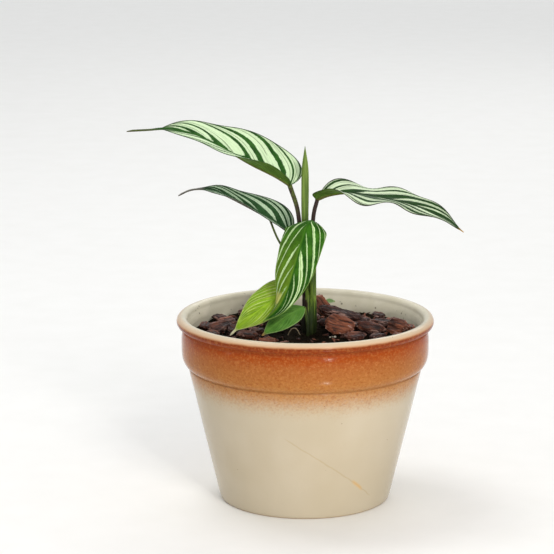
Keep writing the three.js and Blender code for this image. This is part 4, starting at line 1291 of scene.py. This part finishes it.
def make_crown(material):
    """The crown: overlapping sheaths in one stub, each lobe running up into its stem, darker on its
    left side in painted shade.
    """
    rings = [0.8, 0.98, 1.05, 1.02, 1.0, 0.97]
    lobes = [185, 125, 45, 295, 240, 345]
    painted_shade_side = math.radians(205)
    points, share, turn, brown = [], [], [], []
    for i in range(CROWN_ROWS + 1):
        u = i / CROWN_ROWS
        z = -ROOT_DEPTH + (ROOT_DEPTH + CROWN_HEIGHT) * u
        dome = math.sqrt(max(0.0, 1 - smooth(z, 15, CROWN_HEIGHT + 0.6) ** 2 * 0.75))
        depth = 0.35 + 0.5 * smooth(z, 10, 22)
        for angle in ring_angles(CROWN_SIDES):
            degrees = math.degrees(angle)
            nearest = min(abs((degrees - lobe + 180) % 360 - 180) for lobe in lobes)
            crease = depth * smooth(nearest, 8, 34)
            overlap = 0.22 * ((degrees + 3 * z) % 90) / 90
            r = ((RING_RADIUS + 1.0) * float(run(rings, u)) - crease - overlap) * dome
            x, y = polar(r, angle)
            points.append(np.array((CROWN_X + x, y, CROWN_FOOT + z)) * MM)
            share.append(u)
            turn.append(angle / (2 * math.pi))
            # On the crown the brown attribute is painted shade, highest on its left side.
            brown.append(0.1 + 0.75 * smooth(math.cos(angle - painted_shade_side), 0.35, 0.9))
    points.append(np.array((CROWN_X, 0, CROWN_FOOT - ROOT_DEPTH)) * MM)
    points.append(np.array((CROWN_X, 0, CROWN_FOOT + CROWN_HEIGHT)) * MM)
    values = {"along": share + [0, 1], "turn": turn + [0, 0], "brown": brown + [0.1, 0.1]}
    faces = capped_faces(CROWN_ROWS + 1, CROWN_SIDES)
    piece("crown_sheaths", points, faces, [material], ["crown"], values)


def make_rolled_leaf(material):
    """The new leaf, still rolled, with one long seam, and the papery point of a sheath beside it."""
    route = [
        (CROWN_X, 0, STEM_FOOT), (1.6, 0.5, 28), (1.0, 1.1, 40), (-0.2, 2, 55), (-0.3, 2, 75),
        (-0.3, 2, 94.8),
    ]
    radii = [0.9, 0.9, 1.0, 1.35, 1.65, 1.75, 1.85, 1.95, 1.7, 0.06]
    make_stem(
        "leaf_rolled", "rolled_new_leaf", material, route, radii, (120, 40), lapped,
        sharp=60,
    )
    route = [ring_point(345, STEM_FOOT), ring_point(343, 28), (5.4, -1, 33.4)]
    make_stem(
        "sheath_point", "sheath_tip", material, route, [0.85, 0.8, 0.12], (40, 16),
        lapped, lambda share: smooth(share, 0.9, 1.0),
    )


def make_rootlet():
    """A pale bare rootlet that arches out of the soil in front of the crown."""
    s = Shader("rootlet")
    grain = s.noise(s.place, 1200, 3)
    colour = s.mix(s.step(grain, 0.35, 0.7), rgb(158, 142, 116), rgb(104, 86, 62))
    material = s.done(colour, s.step(grain, 0.3, 0.8, 0.6, 0.9), s.bump(grain, 0.2), 0.3)
    route = [
        (-8.8, -5.4, -0.6), (-7.2, -5.5, 2.4), (-5.7, -5.6, 3.2), (-4.2, -5.6, 2.6), (-2.5, -5.6, -0.4),
    ]
    radii = [0.22, 0.28, 0.26, 0.28, 0.2]
    make_stem("bare_rootlet", "rootlet", material, route, radii, (50, 12), knotty)


# ---- Stage ----

# The stage is in metres, degrees and watts.
CAMERA_DISTANCE = 1.2
CAMERA_HEIGHT = 0.372
CAMERA_PITCH = 12.15
CAMERA_YAW = 0.68
CAMERA_LENS = 158.5
SENSOR_WIDTH = 36
FLOOR_HALF = 8.0
SKY = (0.93, 0.96, 1.0, 1)
SKY_STRENGTH = 0.6
MIDDLE = (0, 0, 0.09)
WARM = (1.0, 0.98, 0.95)
COOL = (0.98, 0.99, 1.0)
WHITE = (1.0, 1.0, 1.0)
# Each soft light: its place, its width and height, its power, its colour and where it is aimed.
LIGHTS = {
    "key": ((0.38, -1.05, 0.85), (0.4, 0.4), 6.4, WARM, MIDDLE),
    "window": ((-0.42, 0.32, 1.25), (0.6, 0.6), 5.0, COOL, MIDDLE),
    "table_glint": ((0.052, -0.169, 0.008), (0.016, 0.009), 0.028, WARM, MIDDLE),
    "low_glint": ((0.366, -0.99, 0.226), (0.045, 0.055), 1.9, WARM, MIDDLE),
    "side_glint": ((-0.95, -0.31, 0.2), (0.05, 0.05), 0.45, COOL, MIDDLE),
    "backdrop": ((0, 2.9, 1.6), (4.0, 2.0), 16, COOL, (0, 2.9, 0)),
    "back": ((0.4, 1.4, 1.2), (1.2, 0.8), 5, WHITE, MIDDLE),
}


def make_camera():
    camera = bpy.data.objects.new("camera", bpy.data.cameras.new("camera"))
    bpy.context.scene.collection.objects.link(camera)
    camera.location = (0, -CAMERA_DISTANCE, CAMERA_HEIGHT)
    camera.rotation_euler = (math.radians(90 - CAMERA_PITCH), 0, math.radians(CAMERA_YAW))
    camera.data.lens = CAMERA_LENS
    camera.data.sensor_width = SENSOR_WIDTH
    bpy.context.scene.camera = camera


def make_light(name, place, size, power, colour, target):
    light = bpy.data.objects.new(name, bpy.data.lights.new(name, "AREA"))
    light.data.shape = "RECTANGLE"
    light.data.size, light.data.size_y = size
    light.data.energy = power
    light.data.color = colour
    light.location = place
    light.visible_camera = False
    aim = Vector(target) - Vector(place)
    light.rotation_euler = aim.to_track_quat("-Z", "Y").to_euler()
    bpy.context.scene.collection.objects.link(light)


def make_stage():
    """A plain pale floor, a soft sky and the lights."""
    s = Shader("pale_floor")
    grain = s.noise(s.place, 40, 3)
    floor_material = s.done(s.mix(grain, rgb(240, 238, 233), rgb(246, 244, 240)), 0.75)
    mesh = bpy.data.meshes.new("floor")
    corners = [(x * FLOOR_HALF, y * FLOOR_HALF, 0) for x, y in [(-1, -1), (1, -1), (1, 1), (-1, 1)]]
    mesh.from_pydata(corners, [], [(0, 1, 2, 3)])
    mesh.materials.append(floor_material)
    floor = bpy.data.objects.new("floor", mesh)
    bpy.context.scene.collection.objects.link(floor)
    world = bpy.data.worlds.new("studio")
    world.use_nodes = True
    sky = world.node_tree.nodes["Background"]
    sky.inputs["Color"].default_value = SKY
    sky.inputs["Strength"].default_value = SKY_STRENGTH
    bpy.context.scene.world = world
    for name, settings in LIGHTS.items():
        make_light(name, *settings)
    bpy.context.scene.view_settings.view_transform = "Standard"


# ---- Assembly ----

make_camera()
make_stage()
make_pot()
soil = soil_material()
make_soil(soil)
make_crumbs(soil)
bark = bark_material()
for chip_number in range(1, CHIPS + 1):
    make_chip(chip_number, bark)
make_flakes(bark)
make_leaves()
# The last colour of each stem material is the painted shade at the crown's foot.
stem = stem_material("stem", rgb(50, 76, 20), rgb(122, 146, 50), rgb(50, 34, 28), rgb(20, 25, 10))
make_stems(stem)
make_crown(stem)
new_leaf = stem_material(
    "new_leaf", rgb(72, 98, 34), rgb(126, 150, 66), rgb(120, 84, 50), rgb(60, 80, 30)
)
make_rolled_leaf(new_leaf)
make_rootlet()
